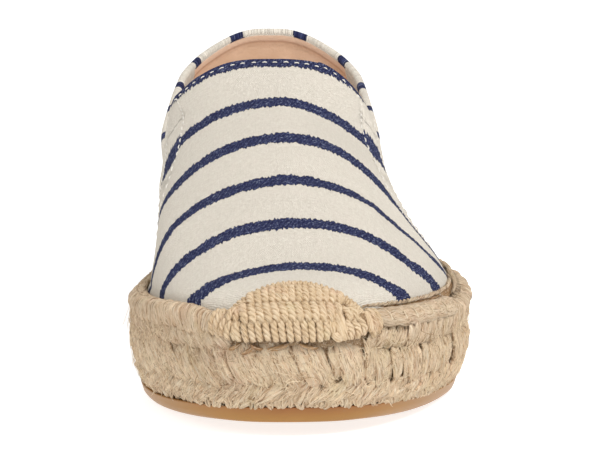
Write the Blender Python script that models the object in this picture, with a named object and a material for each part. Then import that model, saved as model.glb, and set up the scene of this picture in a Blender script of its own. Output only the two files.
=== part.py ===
"""A left-foot espadrille smoking slipper: canvas upper on a platform of braided jute.

The shoe is worked out in its own last coordinates, in millimetres:
  s      distance from the back of the heel towards the toe
  x      across the foot, medial (big toe) side negative, lateral side positive
  z      height above the floor
to_frame() turns them into the scene's frame, in metres: toe towards -Y, lateral
side towards +X, origin at the centre of the footprint on the floor.
"""

import bpy
import numpy as np

# Driving dimensions, in millimetres
LENGTH = 252.0          # heel to toe, over the widest part of the jute
HEEL_THICKNESS = 32.0   # rubber and jute together, under the heel
TOE_SPRING = 4.5        # how far the tip of the sole lifts off the floor
SPRING_START = 178.0    # where the sole starts to lift
RUBBER = 4.0            # outsole thickness
GAP = 0.3               # between pieces that touch
RIM = 5.0               # jute showing round the foot of the upper
LIP_MEDIAL = 2.2        # how far the jute's rolled edge stands above the platform
LIP_LATERAL = 0.8
WALL = 2.0              # canvas, interlining and lining together
FOOTBED = 4.0           # insole thickness at its edge
FOOTBED_DISH = 1.0      # how much thinner the insole is along its middle
PATCH_HALF_WIDTH = 19.4 # crocheted toe cap, measured along the sole's outline
PATCH_SHIFT = 1.0       # its middle lies this far to the lateral side of the toe tip
PATCH_STRAIGHT = 7.3    # height of its straight sides before the half-moon
PATCH_CROWN = 14.0      # height of the half-moon above them
PATCH_FOOT = 5.3        # how far it hangs down the jute, below the platform top
PATCH_THICKNESS = 1.9

# Length and roundness of the outline's two ends
HEEL_ROUND, HEEL_POWER = 34.0, 2.15
TOE_ROUND, TOE_POWER = 80.0, 2.22

# Mesh density
STATIONS = 50           # from heel to toe along each side of every outline
LEVELS = 12             # up the upper's wall, from feather line to topline

# Body of the sole before its ends are rounded: half-width on either side of
# the line from heel to toe, and thickness of rubber and jute together.
MEDIAL, LATERAL, THICKNESS = 1, 2, 3
SOLE_COLUMNS = ("station", "medial", "lateral", "thickness")
SOLE = (
    (0.0, 31.5, 32.0, HEEL_THICKNESS),
    (30.0, 33.0, 34.0, HEEL_THICKNESS),
    (60.0, 33.8, 36.2, 31.0),
    (95.0, 33.8, 39.8, 29.6),
    (130.0, 35.0, 44.8, 28.6),
    (160.0, 39.0, 51.4, 28.0),
    (185.0, 43.2, 51.0, 27.2),
    (210.0, 43.8, 48.0, 26.6),
    (252.0, 42.0, 43.0, 26.0),
)

# The last inside the upper: height of its ridge above the sole, how square
# its section is on either side, and how far its walls stand out beyond the
# feather line once they are WALL_RISE high.
RIDGE, MEDIAL_POWER, LATERAL_POWER, MEDIAL_FLARE, LATERAL_FLARE = 1, 2, 3, 4, 5
LAST_COLUMNS = ("station", "ridge", "medial_power", "lateral_power", "medial_flare", "lateral_flare")
LAST = (
    (0.0, 112.0, 4.5, 4.5, 0.0, 0.0),
    (45.0, 104.0, 4.5, 4.0, 2.8, 0.6),
    (80.0, 86.0, 4.2, 3.4, 5.8, -0.7),
    (105.0, 70.0, 3.5, 2.8, 5.7, -3.2),
    (124.5, 56.4, 2.95, 2.3, 5.3, -4.6),
    (145.0, 47.4, 2.6, 1.7, 4.0, -5.3),
    (165.0, 39.3, 2.3, 1.42, 2.0, -4.2),
    (185.0, 30.5, 2.2, 1.55, 0.0, -1.5),
    (205.0, 21.3, 2.2, 1.9, 0.0, 0.0),
    (225.0, 12.4, 2.2, 2.1, 0.0, 0.0),
    (252.0, 7.0, 2.2, 2.2, 0.0, 0.0),
)
WALL_RISE = 22.0
LAST_HEEL_ROUND, LAST_HEEL_POWER = 10.0, 3.0
LAST_TOE_ROUND, LAST_TOE_POWER = 14.0, 2.2
HEEL_BULGE = 1.8        # the counter's swell behind the feather line
HEEL_LEAN = 4.0         # how far the top of the heel leans back over the foot

# The topline seen from the side: height above the floor at each station.
TOPLINE_COLUMNS = ("station", "height")
TOPLINE = (
    (5.0, 88.5),
    (10.0, 84.0),
    (20.0, 78.0),
    (37.0, 71.6),
    (57.0, 65.4),
    (77.0, 59.2),
    (97.0, 52.5),
    (110.0, 47.5),
    (114.0, 51.5),
    (118.0, 60.0),
    (121.0, 70.0),
    (124.5, 85.2),
    (128.0, 92.0),
)

# Where the wall over each station of the feather line is heading, on the
# middle line: straight across at the heel, gathering at the throat in front.
GATHER_COLUMNS = ("station", "heading")
GATHER = (
    (5.0, 38.0),
    (60.0, 62.0),
    (110.0, 92.0),
    (160.0, 101.0),
    (247.0, 106.0),
)

# Side walls of the sole: inset from the widest outline at each height.
WALL_COLUMNS = ("height", "inset")
SOLE_WALL = (
    (0.0, 4.6),
    (RUBBER, 3.4),
    (7.0, 2.0),
    (12.0, 0.6),
    (18.0, 0.0),
    (32.0, 0.0),
)

# Rolled edge of the jute: inset from the outline, height above the platform's
# top and share of the lip's own height.
ROLL_COLUMNS = ("inset", "height", "lip")
ROLL = (
    (0.0, -5.0, 0.0),
    (0.3, -2.2, 0.35),
    (1.1, -0.6, 0.8),
    (2.6, 0.0, 1.0),
    (4.0, -0.2, 0.7),
    (RIM - GAP, -0.4, 0.0),
)

COLOURS = {
    "outsole": ((0.55, 0.30, 0.12, 1.0), 0.45),
    "midsole": ((0.66, 0.50, 0.32, 1.0), 0.90),
    "insole": ((0.58, 0.40, 0.28, 1.0), 0.75),
    "upper": ((0.76, 0.72, 0.65, 1.0), 0.85),
    "toe_cap": ((0.72, 0.56, 0.36, 1.0), 0.88),
}


def smooth(table, column, at):
    """Reads a table's column between its rows with a curve that never overshoots a row."""
    known = np.array([row[0] for row in table])
    value = np.array([row[column] for row in table])
    at = np.asarray(at, float)
    step = np.diff(known)
    rise = np.diff(value) / step
    slope = np.empty_like(value)
    slope[0], slope[-1] = rise[0], rise[-1]
    slope[1:-1] = (rise[:-1] * step[1:] + rise[1:] * step[:-1]) / (step[:-1] + step[1:])
    turns = rise[:-1] * rise[1:] <= 0
    slope[1:-1][turns] = 0
    i = np.clip(np.searchsorted(known, at) - 1, 0, len(step) - 1)
    t = np.clip((at - known[i]) / step[i], 0, 1)
    return (
        (2 * t**3 - 3 * t**2 + 1) * value[i]
        + (t**3 - 2 * t**2 + t) * step[i] * slope[i]
        + (3 * t**2 - 2 * t**3) * value[i + 1]
        + (t**3 - t**2) * step[i] * slope[i + 1]
    )


def rounded(distance, length, power):
    """Rises from 0 at an end to 1 once past its rounding, like a superellipse."""
    left = np.clip(1 - distance / length, 0, 1)
    return (1 - left**power) ** (1 / power)


# ---- The sole's outline and surfaces ----

def half_width(s, side, inset):
    """Half-width of the sole's outline, shrunk all round by inset."""
    s = np.asarray(s, float)
    body = np.where(np.asarray(side) < 0, smooth(SOLE, MEDIAL, s), smooth(SOLE, LATERAL, s)) - inset
    heel = rounded(s - inset, HEEL_ROUND - inset, HEEL_POWER)
    toe = rounded(LENGTH - inset - s, TOE_ROUND - inset, TOE_POWER)
    return body * heel * toe


def sole_bottom(s):
    """Underside of the rubber: flat, then lifting towards the toe."""
    lift = np.clip((np.asarray(s, float) - SPRING_START) / (LENGTH - SPRING_START), 0, 1)
    return TOE_SPRING * lift**2


def sole_top(s):
    """Flat top of the jute platform, under the upper and the footbed."""
    return sole_bottom(s) + smooth(SOLE, THICKNESS, s)


def stations(inset):
    """Stations along an outline, closer together at its ends and under the throat."""
    fine = np.linspace(0, 1, 1201)
    angle = np.pi * fine
    s = inset + (LENGTH - 2 * inset) * (1 - np.cos(angle)) / 2
    weight = 1 + 1.3 * np.exp(-(((s - 118) / 16) ** 2))
    running = np.concatenate([[0], np.cumsum((weight[1:] + weight[:-1]) / 2)])
    return np.interp(np.linspace(0, running[-1], STATIONS + 1), running, s)


def outline(inset):
    """Closed loop round the sole: medial side from heel to toe, lateral side back."""
    s = stations(inset)
    going = np.stack([s, -half_width(s, -1, inset)], axis=1)
    coming = np.stack([s, half_width(s, 1, inset)], axis=1)[-2:0:-1]
    return np.concatenate([going, coming])


def ring(inset, height):
    """Outline at an inset, raised to height(s, x)."""
    flat = outline(inset)
    return np.column_stack([flat, height(flat[:, 0], flat[:, 1])])


# ---- The last and the upper's outer face ----

def last_point(s, c):
    """A point of the upper's outer face. c runs from -1 at the medial feather line,
    over the ridge at 0, to 1 at the lateral one."""
    s, c = np.broadcast_arrays(np.asarray(s, float), np.asarray(c, float))
    across = np.abs(c)
    medial = c < 0
    power = np.where(medial, smooth(LAST, MEDIAL_POWER, s), smooth(LAST, LATERAL_POWER, s))
    flare = np.where(medial, smooth(LAST, MEDIAL_FLARE, s), smooth(LAST, LATERAL_FLARE, s))
    width = half_width(s, np.where(medial, -1, 1), RIM)
    heel = rounded(s - RIM, LAST_HEEL_ROUND, LAST_HEEL_POWER)
    toe = rounded(LENGTH - RIM - s, LAST_TOE_ROUND, LAST_TOE_POWER)
    ridge = smooth(LAST, RIDGE, s) * heel * toe
    rise = ridge * np.clip(1 - across**power, 0, 1) ** (1 / power)
    t = np.clip(rise / WALL_RISE, 0, 1)
    out = flare * (3 * t**2 - 2 * t**3)
    back = np.clip(1 - (s - RIM) / 32, 0, 1) ** 1.5
    swell = np.sin(np.pi * np.clip(rise / 44, 0, 1))
    lean = back * (HEEL_LEAN * (np.clip(rise, 0, 70) / 56) ** 2 - HEEL_BULGE * swell)
    x = c * width + np.sign(c) * across**0.5 * out
    return np.stack([s + lean, x, sole_top(s) + GAP + rise], axis=-1)


def rib(s, side):
    """Line up the outer face from the feather line at station s to the topline."""
    x = side * half_width(s, side, RIM)
    goal = smooth(GATHER, 1, s)
    w = np.linspace(0, 1, 700) ** 2.5
    plan_s = s + w * (goal - s)
    plan_x = x * (1 - w)
    width = np.maximum(half_width(plan_s, side, RIM), 1e-6)
    c = np.clip(np.abs(plan_x) / width, 0, 1) * side
    line = last_point(plan_s, c)
    limit = smooth(TOPLINE, 1, plan_s)
    over = line[:, 2] - limit
    end = int(np.argmax(over > 0))
    part = over[end - 1] / (over[end - 1] - over[end])
    line = np.concatenate([line[:end], [line[end - 1] + part * (line[end] - line[end - 1])]])
    run = np.concatenate([[0], np.cumsum(np.linalg.norm(np.diff(line, axis=0), axis=1))])
    at = np.linspace(0, 1, LEVELS + 1) ** 1.15 * run[-1]
    return np.stack([np.interp(at, run, line[:, k]) for k in range(3)], axis=1)


def upper_skin():
    """Outer face of the upper: one rib for every point of the feather line."""
    s = stations(RIM)
    s[0], s[-1] = RIM + 1e-4, LENGTH - RIM - 1e-4
    going = [rib(at, -1) for at in s]
    coming = [rib(at, 1) for at in s[-2:0:-1]]
    return np.array(going + coming)


def grid_normals(skin):
    """Outward unit normals of a grid that closes on itself along its first axis."""
    along = np.roll(skin, -1, axis=0) - np.roll(skin, 1, axis=0)
    up = np.gradient(skin, axis=1)
    normal = np.cross(along, up)
    return normal / np.linalg.norm(normal, axis=2, keepdims=True)


# ---- The crocheted toe cap ----

def toe_outline(spread):
    """Plan points and inward directions of the jute's outline at signed distances
    from the toe tip, medial side negative."""
    s = LENGTH - np.linspace(0, 1, 900) ** 2 * 60
    points, inward = [], []
    for side in (-1, 1):
        loop = np.column_stack([s, side * half_width(s, side, 0)])
        run = np.concatenate([[0], np.cumsum(np.linalg.norm(np.diff(loop, axis=0), axis=1))])
        for distance in spread[(spread < 0) if side < 0 else (spread >= 0)]:
            near = [np.interp(abs(distance) + d, run, loop[:, k]) for d in (0, 0.5) for k in (0, 1)]
            a, b = np.array(near[:2]), np.array(near[2:])
            along = (b - a) / np.linalg.norm(b - a)
            points.append(a)
            inward.append(np.array([along[1], -along[0]]) * (-side))
    return np.array(points), np.array(inward)


def stretched(profile):
    """Upper hull of a profile: the line a patch takes when drawn tight over it."""
    hull = []
    for p in profile:
        while len(hull) > 1:
            a, b = hull[-2], hull[-1]
            if (b[0] - a[0]) * (p[1] - a[1]) - (b[1] - a[1]) * (p[0] - a[0]) < 0:
                break
            hull.pop()
        hull.append(p)
    return np.array(hull)


def patch_profile(point, inward):
    """Distance inward and height of the tight line over the jute edge and the vamp."""
    q = np.linspace(0, 26, 261)
    plan = point + q[:, None] * inward
    side = np.where(plan[:, 1] < 0, -1, 1)
    width = np.maximum(half_width(plan[:, 0], side, RIM), 1e-6)
    c = np.clip(np.abs(plan[:, 1]) / width, 0, 1) * side
    vamp = last_point(plan[:, 0], c)[:, 2]
    top = float(sole_top(point[0]))
    lip = smooth(ROLL, 1, q) + smooth(ROLL, 2, q) * LIP_LATERAL
    edge = np.where(q < RIM, top + lip, top)
    surface = np.maximum(edge, np.where(q > RIM, vamp, 0))
    foot = np.array([[-0.02, top - PATCH_FOOT]])
    return stretched(np.concatenate([foot, np.column_stack([q, surface])]))


def toe_cap_grid(clearance, columns=24, rows=12):
    """Face of the toe cap, standing off the tight line by clearance."""
    spread = PATCH_HALF_WIDTH * np.sin(np.linspace(-1, 1, columns + 1) * 0.497 * np.pi)
    points, inward = toe_outline(spread + PATCH_SHIFT)
    grid = []
    for at, point, direction in zip(spread, points, inward):
        line = patch_profile(point, direction)
        slope = np.gradient(line, axis=0)
        normal = np.column_stack([-slope[:, 1], slope[:, 0]])
        normal /= np.linalg.norm(normal, axis=1, keepdims=True)
        line = line + clearance * normal
        run = np.concatenate([[0], np.cumsum(np.linalg.norm(np.diff(line, axis=0), axis=1))])
        bow = np.sqrt(max(0.0, 1 - (at / PATCH_HALF_WIDTH) ** 2))
        reach = PATCH_STRAIGHT + PATCH_CROWN * bow
        steps = np.linspace(0, 1, rows + 1) * reach
        q = np.interp(steps, run, line[:, 0])
        z = np.interp(steps, run, line[:, 1])
        plan = point + q[:, None] * direction
        grid.append(np.column_stack([plan, z]))
    return np.array(grid)


# ---- Meshes ----

def to_frame(points):
    """Last coordinates in millimetres to the scene's frame in metres."""
    points = np.asarray(points, float).reshape(-1, 3)
    x = points[:, 1] + CENTRE_X
    y = CENTRE_S - points[:, 0]
    return np.column_stack([x, y, points[:, 2]]) * 0.001


def widest():
    """Middle of the footprint between its widest medial and lateral points."""
    s = np.linspace(0, LENGTH, 1001)
    return (half_width(s, -1, 0).max() - half_width(s, 1, 0).max()) / 2


CENTRE_X = widest()
CENTRE_S = (LENGTH + GAP + PATCH_THICKNESS) / 2     # the toe cap stands in front of the jute


def add_piece(name, points, faces):
    """Adds one named solid with its own material, its faces turned outwards."""
    mesh = bpy.data.meshes.new(name)
    mesh.from_pydata(to_frame(points).tolist(), [], faces)
    mesh.validate()
    corners = np.array([v.co for v in mesh.vertices])
    volume = 0.0
    for face in mesh.polygons:
        ids = list(face.vertices)
        for b, c in zip(ids[1:-1], ids[2:]):
            volume += np.dot(corners[ids[0]], np.cross(corners[b], corners[c]))
    if volume < 0:
        mesh.flip_normals()
    mesh.shade_smooth()
    colour, roughness = COLOURS[name]
    material = bpy.data.materials.new(name)
    material.use_nodes = True
    shader = material.node_tree.nodes["Principled BSDF"]
    shader.inputs["Base Color"].default_value = colour
    shader.inputs["Roughness"].default_value = roughness
    shader.inputs["Metallic"].default_value = 0.0
    mesh.materials.append(material)
    body = bpy.data.objects.new(name, mesh)
    bpy.context.scene.collection.objects.link(body)
    return body


def ladder(start, count, flip):
    """Flat cap over a closed loop made by outline(): rungs from side to side."""
    half = count // 2
    faces = []
    for k in range(half):
        a, b = start + k, start + k + 1
        c = start + (count - k - 1) % count
        d = start + (count - k) % count
        face = [i for n, i in enumerate((a, b, c, d)) if i not in (a, b, c, d)[:n]]
        faces.append(face[::-1] if flip else face)
    return faces


def slab(name, rings):
    """Closed solid from a stack of rings, capped below the first and above the last."""
    count = len(rings[0])
    faces = ladder(0, count, True)
    for level in range(len(rings) - 1):
        low, high = level * count, (level + 1) * count
        for k in range(count):
            n = (k + 1) % count
            faces.append((low + k, low + n, high + n, high + k))
    faces += ladder((len(rings) - 1) * count, count, False)
    return add_piece(name, np.concatenate(rings), faces)


def lip_height(s, x):
    """Height of the jute's rolled edge at a point of the outline."""
    blend = np.clip(0.5 + x / 30.0, 0, 1)
    blend = 3 * blend**2 - 2 * blend**3
    toe = np.clip((LENGTH - s) / 40.0, 0, 1)
    toe = 3 * toe**2 - 2 * toe**3
    side = LIP_MEDIAL + (LIP_LATERAL - LIP_MEDIAL) * blend
    return LIP_LATERAL + (side - LIP_LATERAL) * toe


def sole_side(height):
    """Ring of the sole's side wall at a height above its underside."""
    inset = float(smooth(SOLE_WALL, 1, height))
    return ring(inset, lambda s, x: sole_bottom(s) + height)


def build_outsole():
    rounded_edge = ring(SOLE_WALL[0][1] + 0.6, lambda s, x: sole_bottom(s))
    walls = [sole_side(h) for h in (0.6, 2.0, RUBBER)]
    return slab("outsole", [rounded_edge] + walls)


def build_midsole():
    rings = [sole_side(h) for h in (RUBBER + GAP, 7.0, 12.0, 18.0)]
    for inset, height, share in ROLL:
        rings.append(
            ring(inset, lambda s, x, h=height, k=share: sole_top(s) + h + k * lip_height(s, x))
        )
    rings.append(ring(RIM, lambda s, x: sole_top(s)))
    return slab("midsole", rings)


def build_insole():
    """Footbed: thinner along its middle and towards the toe, where the vamp is low."""
    def thickness(s):
        return FOOTBED - 1.6 * np.clip((s - 195) / 50, 0, 1)

    base = RIM + WALL + GAP + 0.15
    skive = 5.5
    foot = ring(base + 0.6, lambda s, x: sole_top(s) + GAP)
    side = ring(base + 0.3, lambda s, x: sole_top(s) + GAP + 0.6)
    edge = ring(base + skive / 2, lambda s, x: sole_top(s) + GAP + thickness(s) * 0.72)
    top = ring(base + skive, lambda s, x: sole_top(s) + GAP + thickness(s))
    inner = ring(base + 11, lambda s, x: sole_top(s) + GAP + thickness(s) - FOOTBED_DISH * 0.7)
    middle = ring(base + 17, lambda s, x: sole_top(s) + GAP + thickness(s) - FOOTBED_DISH)
    return slab("insole", [foot, side, edge, top, inner, middle])


def build_upper():
    """One hollow solid, open at the collar and underneath."""
    outer = upper_skin()
    inner = outer - WALL * grid_normals(outer)
    foot = ring(RIM + WALL, lambda s, x: sole_top(s) + GAP)
    inner[:, 0] = foot
    count, levels = outer.shape[:2]
    size = count * levels
    faces = []
    for i in range(count):
        n = (i + 1) % count
        for j in range(levels - 1):
            a, b = i * levels + j, n * levels + j
            faces.append((a, b, b + 1, a + 1))
            faces.append((size + a, size + a + 1, size + b + 1, size + b))
        for j, turn in ((0, 1), (levels - 1, -1)):
            a, b = i * levels + j, n * levels + j
            faces.append((a, size + a, size + b, b)[::turn])
    points = np.concatenate([outer.reshape(-1, 3), inner.reshape(-1, 3)])
    return add_piece("upper", points, faces)


def build_toe_cap():
    """Half-moon patch between two forms drawn tight over the toe."""
    inner = toe_cap_grid(GAP)
    outer = toe_cap_grid(GAP + PATCH_THICKNESS)
    columns, rows = inner.shape[:2]
    size = columns * rows
    faces = []
    for i in range(columns - 1):
        for j in range(rows - 1):
            a = i * rows + j
            b = a + rows
            faces.append((a, a + 1, b + 1, b))
            faces.append((size + a, size + b, size + b + 1, size + a + 1))
        for j, turn in ((0, 1), (rows - 1, -1)):
            a = i * rows + j
            b = a + rows
            faces.append((a, b, size + b, size + a)[::turn])
    for i, turn in ((0, -1), (columns - 1, 1)):
        for j in range(rows - 1):
            a = i * rows + j
            faces.append((a, a + 1, size + a + 1, size + a)[::turn])
    points = np.concatenate([inner.reshape(-1, 3), outer.reshape(-1, 3)])
    return add_piece("toe_cap", points, faces)


def main():
    for thing in list(bpy.data.objects):
        bpy.data.objects.remove(thing)
    build_outsole()
    build_midsole()
    build_insole()
    build_upper()
    build_toe_cap()


main()
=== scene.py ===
"""Looks of the left-foot espadrille smoking slipper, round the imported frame.

Shapes are worked out in the part's own last coordinates, in millimetres: s from
the back of the heel towards the toe, x across the foot (medial side negative) and
z above the floor. place() turns them into the frame, in metres.
"""

import math

import bpy
import numpy as np
from mathutils import Euler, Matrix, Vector


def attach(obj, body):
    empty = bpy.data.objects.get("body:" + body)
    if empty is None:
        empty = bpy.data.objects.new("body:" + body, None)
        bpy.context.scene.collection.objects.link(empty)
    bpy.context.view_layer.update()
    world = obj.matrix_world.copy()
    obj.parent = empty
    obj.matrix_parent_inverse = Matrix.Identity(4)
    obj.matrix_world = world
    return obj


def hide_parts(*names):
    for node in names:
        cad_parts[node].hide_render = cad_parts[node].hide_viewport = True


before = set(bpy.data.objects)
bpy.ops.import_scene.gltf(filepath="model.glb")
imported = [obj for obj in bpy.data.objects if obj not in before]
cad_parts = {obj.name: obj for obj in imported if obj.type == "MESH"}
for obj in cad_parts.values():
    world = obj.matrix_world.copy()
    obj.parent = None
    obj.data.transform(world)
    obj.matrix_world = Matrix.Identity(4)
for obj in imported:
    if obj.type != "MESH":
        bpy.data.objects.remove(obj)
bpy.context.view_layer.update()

RNG = np.random.default_rng(38)

# ---- Sizes shared with the part's source, in millimetres ----

LENGTH, HEEL_THICKNESS, TOE_SPRING, SPRING_START = 252.0, 32.0, 4.5, 178.0
RUBBER, GAP, RIM = 4.0, 0.3, 5.0
LIP_MEDIAL, LIP_LATERAL = 2.2, 0.8
PATCH_HALF_WIDTH, PATCH_SHIFT, PATCH_STRAIGHT = 19.4, 1.0, 7.3
PATCH_FOOT, PATCH_THICKNESS = 5.3, 1.9
HEEL_ROUND, HEEL_POWER = 34.0, 2.15
TOE_ROUND, TOE_POWER = 80.0, 2.22

# station, medial and lateral half-width, thickness
SOLE = (
    (0.0, 31.5, 32.0, HEEL_THICKNESS), (30.0, 33.0, 34.0, HEEL_THICKNESS),
    (60.0, 33.8, 36.2, 31.0), (95.0, 33.8, 39.8, 29.6), (130.0, 35.0, 44.8, 28.6),
    (160.0, 39.0, 51.4, 28.0), (185.0, 43.2, 51.0, 27.2), (210.0, 43.8, 48.0, 26.6),
    (252.0, 42.0, 43.0, 26.0),
)
# height above the sole's underside, inset from the outline
SOLE_WALL = ((0.0, 4.6), (RUBBER, 3.4), (7.0, 2.0), (12.0, 0.6), (18.0, 0.0), (32.0, 0.0))
# row, inset from the outline, height above the platform, share of the lip
ROLL = (
    (0.0, 0.0, -5.0, 0.0), (1.0, 0.3, -2.2, 0.35), (2.0, 1.1, -0.6, 0.8), (3.0, 2.6, 0.0, 1.0),
    (4.0, 4.0, -0.2, 0.7), (5.0, RIM - GAP, -0.4, 0.0),
)

# ---- The upper: near the part's source, finished ----

# station, ridge, medial and lateral power, medial and lateral flare
LAST = (
    (0.0, 112.0, 4.5, 4.5, 0.0, 0.0), (45.0, 104.0, 4.5, 4.0, 2.8, 0.6),
    (80.0, 86.0, 4.2, 3.4, 5.8, -0.7), (105.0, 70.0, 3.5, 2.8, 5.7, -3.2),
    (124.5, 56.4, 2.95, 2.3, 5.3, -4.6), (145.0, 47.4, 2.6, 1.7, 4.0, -5.3),
    (165.0, 39.3, 2.3, 1.42, 2.0, -4.2), (185.0, 30.5, 2.2, 1.55, 0.0, -1.5),
    (205.0, 21.3, 2.2, 1.9, 0.0, 0.0), (225.0, 12.4, 2.2, 2.1, 0.0, 0.0),
    (252.0, 7.0, 2.2, 2.2, 0.0, 0.0),
)
WALL_RISE = 22.0                    # height over which the flare comes in
HEEL_END, TOE_END = (10.0, 3.0), (14.0, 2.2)    # length and power of the rounded ends
# station, how far the medial and the lateral canvas are drawn in just above the jute
PINCH = (
    (125.0, 0.0, 0.0), (150.0, 0.1, 1.2), (170.0, 0.8, 1.2), (186.0, 1.5, 0.5),
    (200.0, 1.1, 0.0), (220.0, 0.0, 0.0),
)
PINCH_RISE = ((0.0, 0.0), (3.0, 0.9), (7.0, 1.0), (18.0, 0.0))
# on the medial side or not, station, reach, rise, reach, how far the canvas stands out there
SWELLS = (
    (False, 120.0, 14.0, 30.0, 14.0, -0.9),
    (True, 128.0, 10.0, 17.0, 10.0, 1.0),
    (False, 154.0, 9.0, 16.0, 8.0, -1.0),
)
HEEL_REACH, HEEL_BULGE, HEEL_LEAN = 32.0, 1.8, 4.0
BULGE_TOP, LEAN_FROM, LEAN_TOP = 44.0, 56.0, 70.0
# station, height: the collar's edge on the quarters, and the vamp's own edge on either side
QUARTER_TOP = (
    (5.0, 87.4), (10.0, 83.3), (20.0, 77.7), (37.0, 71.6), (57.0, 65.4), (77.0, 59.2),
    (97.0, 52.5), (110.0, 47.5), (116.0, 46.0), (126.0, 44.0),
)
VAMP_BACK = ((96.0, 20.0), (101.0, 29.6), (110.0, 47.5))
VAMP_EDGE = {
    -1: VAMP_BACK + (
        (112.3, 57.0), (114.2, 66.0), (116.2, 73.9), (117.9, 75.3), (120.2, 77.1), (122.3, 80.3),
        (123.3, 82.4), (123.6, 84.0), (123.7, 86.0), (128.0, 92.0)),
    1: VAMP_BACK + (
        (114.5, 56.0), (118.6, 66.0), (120.5, 74.0), (120.9, 79.0), (121.2, 82.7), (122.2, 84.6),
        (123.7, 86.0), (128.0, 92.0)),
}
# station on the feather line, station where its rib of cloth meets the ridge
GATHER = ((5.0, 38.0), (60.0, 62.0), (110.0, 92.0), (160.0, 101.0), (247.0, 106.0))

STRIPE_PITCH, STRIPE_HALF = 22.0, 2.6
FIRST_STATION = 126.0               # where the first stripe crosses the ridge
# station, and how far a stripe there has drifted towards the toe at each DRIFT_ARC
DRIFT_ARC = (-48.0, -40.0, -32.0, -24.0, -15.0, 0.0, 12.0, 20.0, 26.0, 34.0, 44.0, 54.0)
STRIPE_DRIFT = (
    (126.0, -21.7, -12.7, -6.9, -2.8, -1.2, -1.3, -3.1, -5.0, -6.4, -9.3, -14.2, -14.2),
    (146.0, -7.0, -3.8, -0.4, 1.9, 1.8, 0.0, -2.2, -4.1, -5.5, -8.7, -12.8, -12.0),
    (166.2, -1.5, -1.0, 1.2, 1.7, 0.9, -0.9, -6.6, -8.9, -9.8, -10.8, -10.9, -6.0),
    (186.1, 8.0, 7.0, 4.6, 2.8, 1.6, -0.5, -2.9, -4.6, -4.6, 2.0, 3.6, -4.0),
    (206.1, 8.0, 8.0, 6.8, 5.0, 1.7, -0.4, -1.0, -0.2, 1.4, 4.0, 0.4, -6.0),
    (226.6, 3.0, 3.0, 4.0, 5.0, 4.3, 0.4, 0.2, 0.4, 0.9, -1.4, -2.0, -2.0),
)
# where the quarters' stripes stand along the outline, walked from the heel
QUARTER_STRIPES = (-132.0, -111.0, -90.3, -70.0, -50.5, -31.3, -12.0,
                   11.1, 31.0, 52.5, 71.0, 91.0, 112.0, 133.0)
# station, height: the two rows of stitches where the vamp laps over the quarters
LAP_ROWS = {
    -1: (((118.0, 74.5), (126.0, 72.2), (134.0, 69.8), (141.1, 66.2), (147.8, 62.3),
          (156.0, 55.0), (163.0, 46.0), (169.0, 34.0)),
         ((116.5, 69.5), (121.0, 65.2), (129.2, 60.9), (138.1, 56.7), (146.0, 50.5),
          (153.0, 42.0), (159.0, 32.5))),
    1: (((121.5, 73.5), (128.0, 70.3), (137.2, 64.8), (140.7, 62.0), (148.0, 55.0),
         (155.0, 46.0), (161.0, 34.0)),
        ((119.5, 67.5), (123.0, 64.3), (128.8, 61.0), (135.1, 57.2), (142.0, 50.5),
         (148.0, 42.0), (153.0, 32.5))),
}
LAYER = 0.4                         # step between canvas layers

# ---- The jute ----

# distance along the outline, how far the jute's crest lies below the plain roll
CREST = (
    (-290.0, 0.8), (-100.0, 1.0), (-80.0, 0.6), (-62.0, 0.0), (-51.0, -0.8), (-42.0, -1.6),
    (-35.0, -1.9), (-29.0, -1.0), (-24.0, 0.0), (62.0, 0.0), (76.0, 1.5), (150.0, 1.5),
    (290.0, 0.8),
)
SMOOTH_ROLL = (20.0, 74.0)          # where the jute's edge is a plain roll, on the lateral side
MAIN_TOP, MAIN_FOOT = 0.365, 0.79   # the main course's edges, as shares of the drop
# distance along the outline, how far a main strand's foot lies ahead of its head
SLANT_AT = (-290, -70, -45, -20, 12, 26, 42, 66, 90, 290)
SLANT = (7, 9, 10.5, 7.5, 6, 2.2, 1.2, 3, 7, 7)
MOON_CROWN = 12.3                   # height of the crochet's arc above its straight sides
PATCH_STEP, WALL_STEP, WALL_TOP = 0.2, 0.25, -2.8


def smooth(table, column, at):
    """Reads a table's column between its rows with a curve that never overshoots a row."""
    known = np.array([row[0] for row in table], float)
    value = np.array([row[column] for row in table], float)
    at = np.asarray(at, float)
    step = np.diff(known)
    rise = np.diff(value) / step
    slope = np.empty_like(value)
    slope[0], slope[-1] = rise[0], rise[-1]
    slope[1:-1] = (rise[:-1] * step[1:] + rise[1:] * step[:-1]) / (step[:-1] + step[1:])
    slope[1:-1][rise[:-1] * rise[1:] <= 0] = 0
    i = np.clip(np.searchsorted(known, at) - 1, 0, len(step) - 1)
    t = np.clip((at - known[i]) / step[i], 0, 1)
    return (
        (2 * t**3 - 3 * t**2 + 1) * value[i]
        + (t**3 - 2 * t**2 + t) * step[i] * slope[i]
        + (3 * t**2 - 2 * t**3) * value[i + 1]
        + (t**3 - t**2) * step[i] * slope[i + 1]
    )


def spline(points, count):
    """Smooth run through a few rows of numbers."""
    table = [(k, *row) for k, row in enumerate(points)]
    at = np.linspace(0, len(points) - 1, count)
    return np.stack([smooth(table, j, at) for j in range(1, len(table[0]))], axis=1)


def by_side(table, column, s, medial):
    """A table's column on the medial side and the next one on the lateral side."""
    return np.where(medial, smooth(table, column, s), smooth(table, column + 1, s))


def rounded(distance, length, power):
    left = np.clip(1 - distance / length, 0, 1)
    return (1 - left**power) ** (1 / power)


def ease(t):
    """Smooth step from 0 to 1 as t goes from 0 to 1."""
    t = np.clip(t, 0, 1)
    return 3 * t**2 - 2 * t**3


def unit(v):
    return v / np.maximum(np.linalg.norm(v, axis=-1, keepdims=True), 1e-9)


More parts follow.
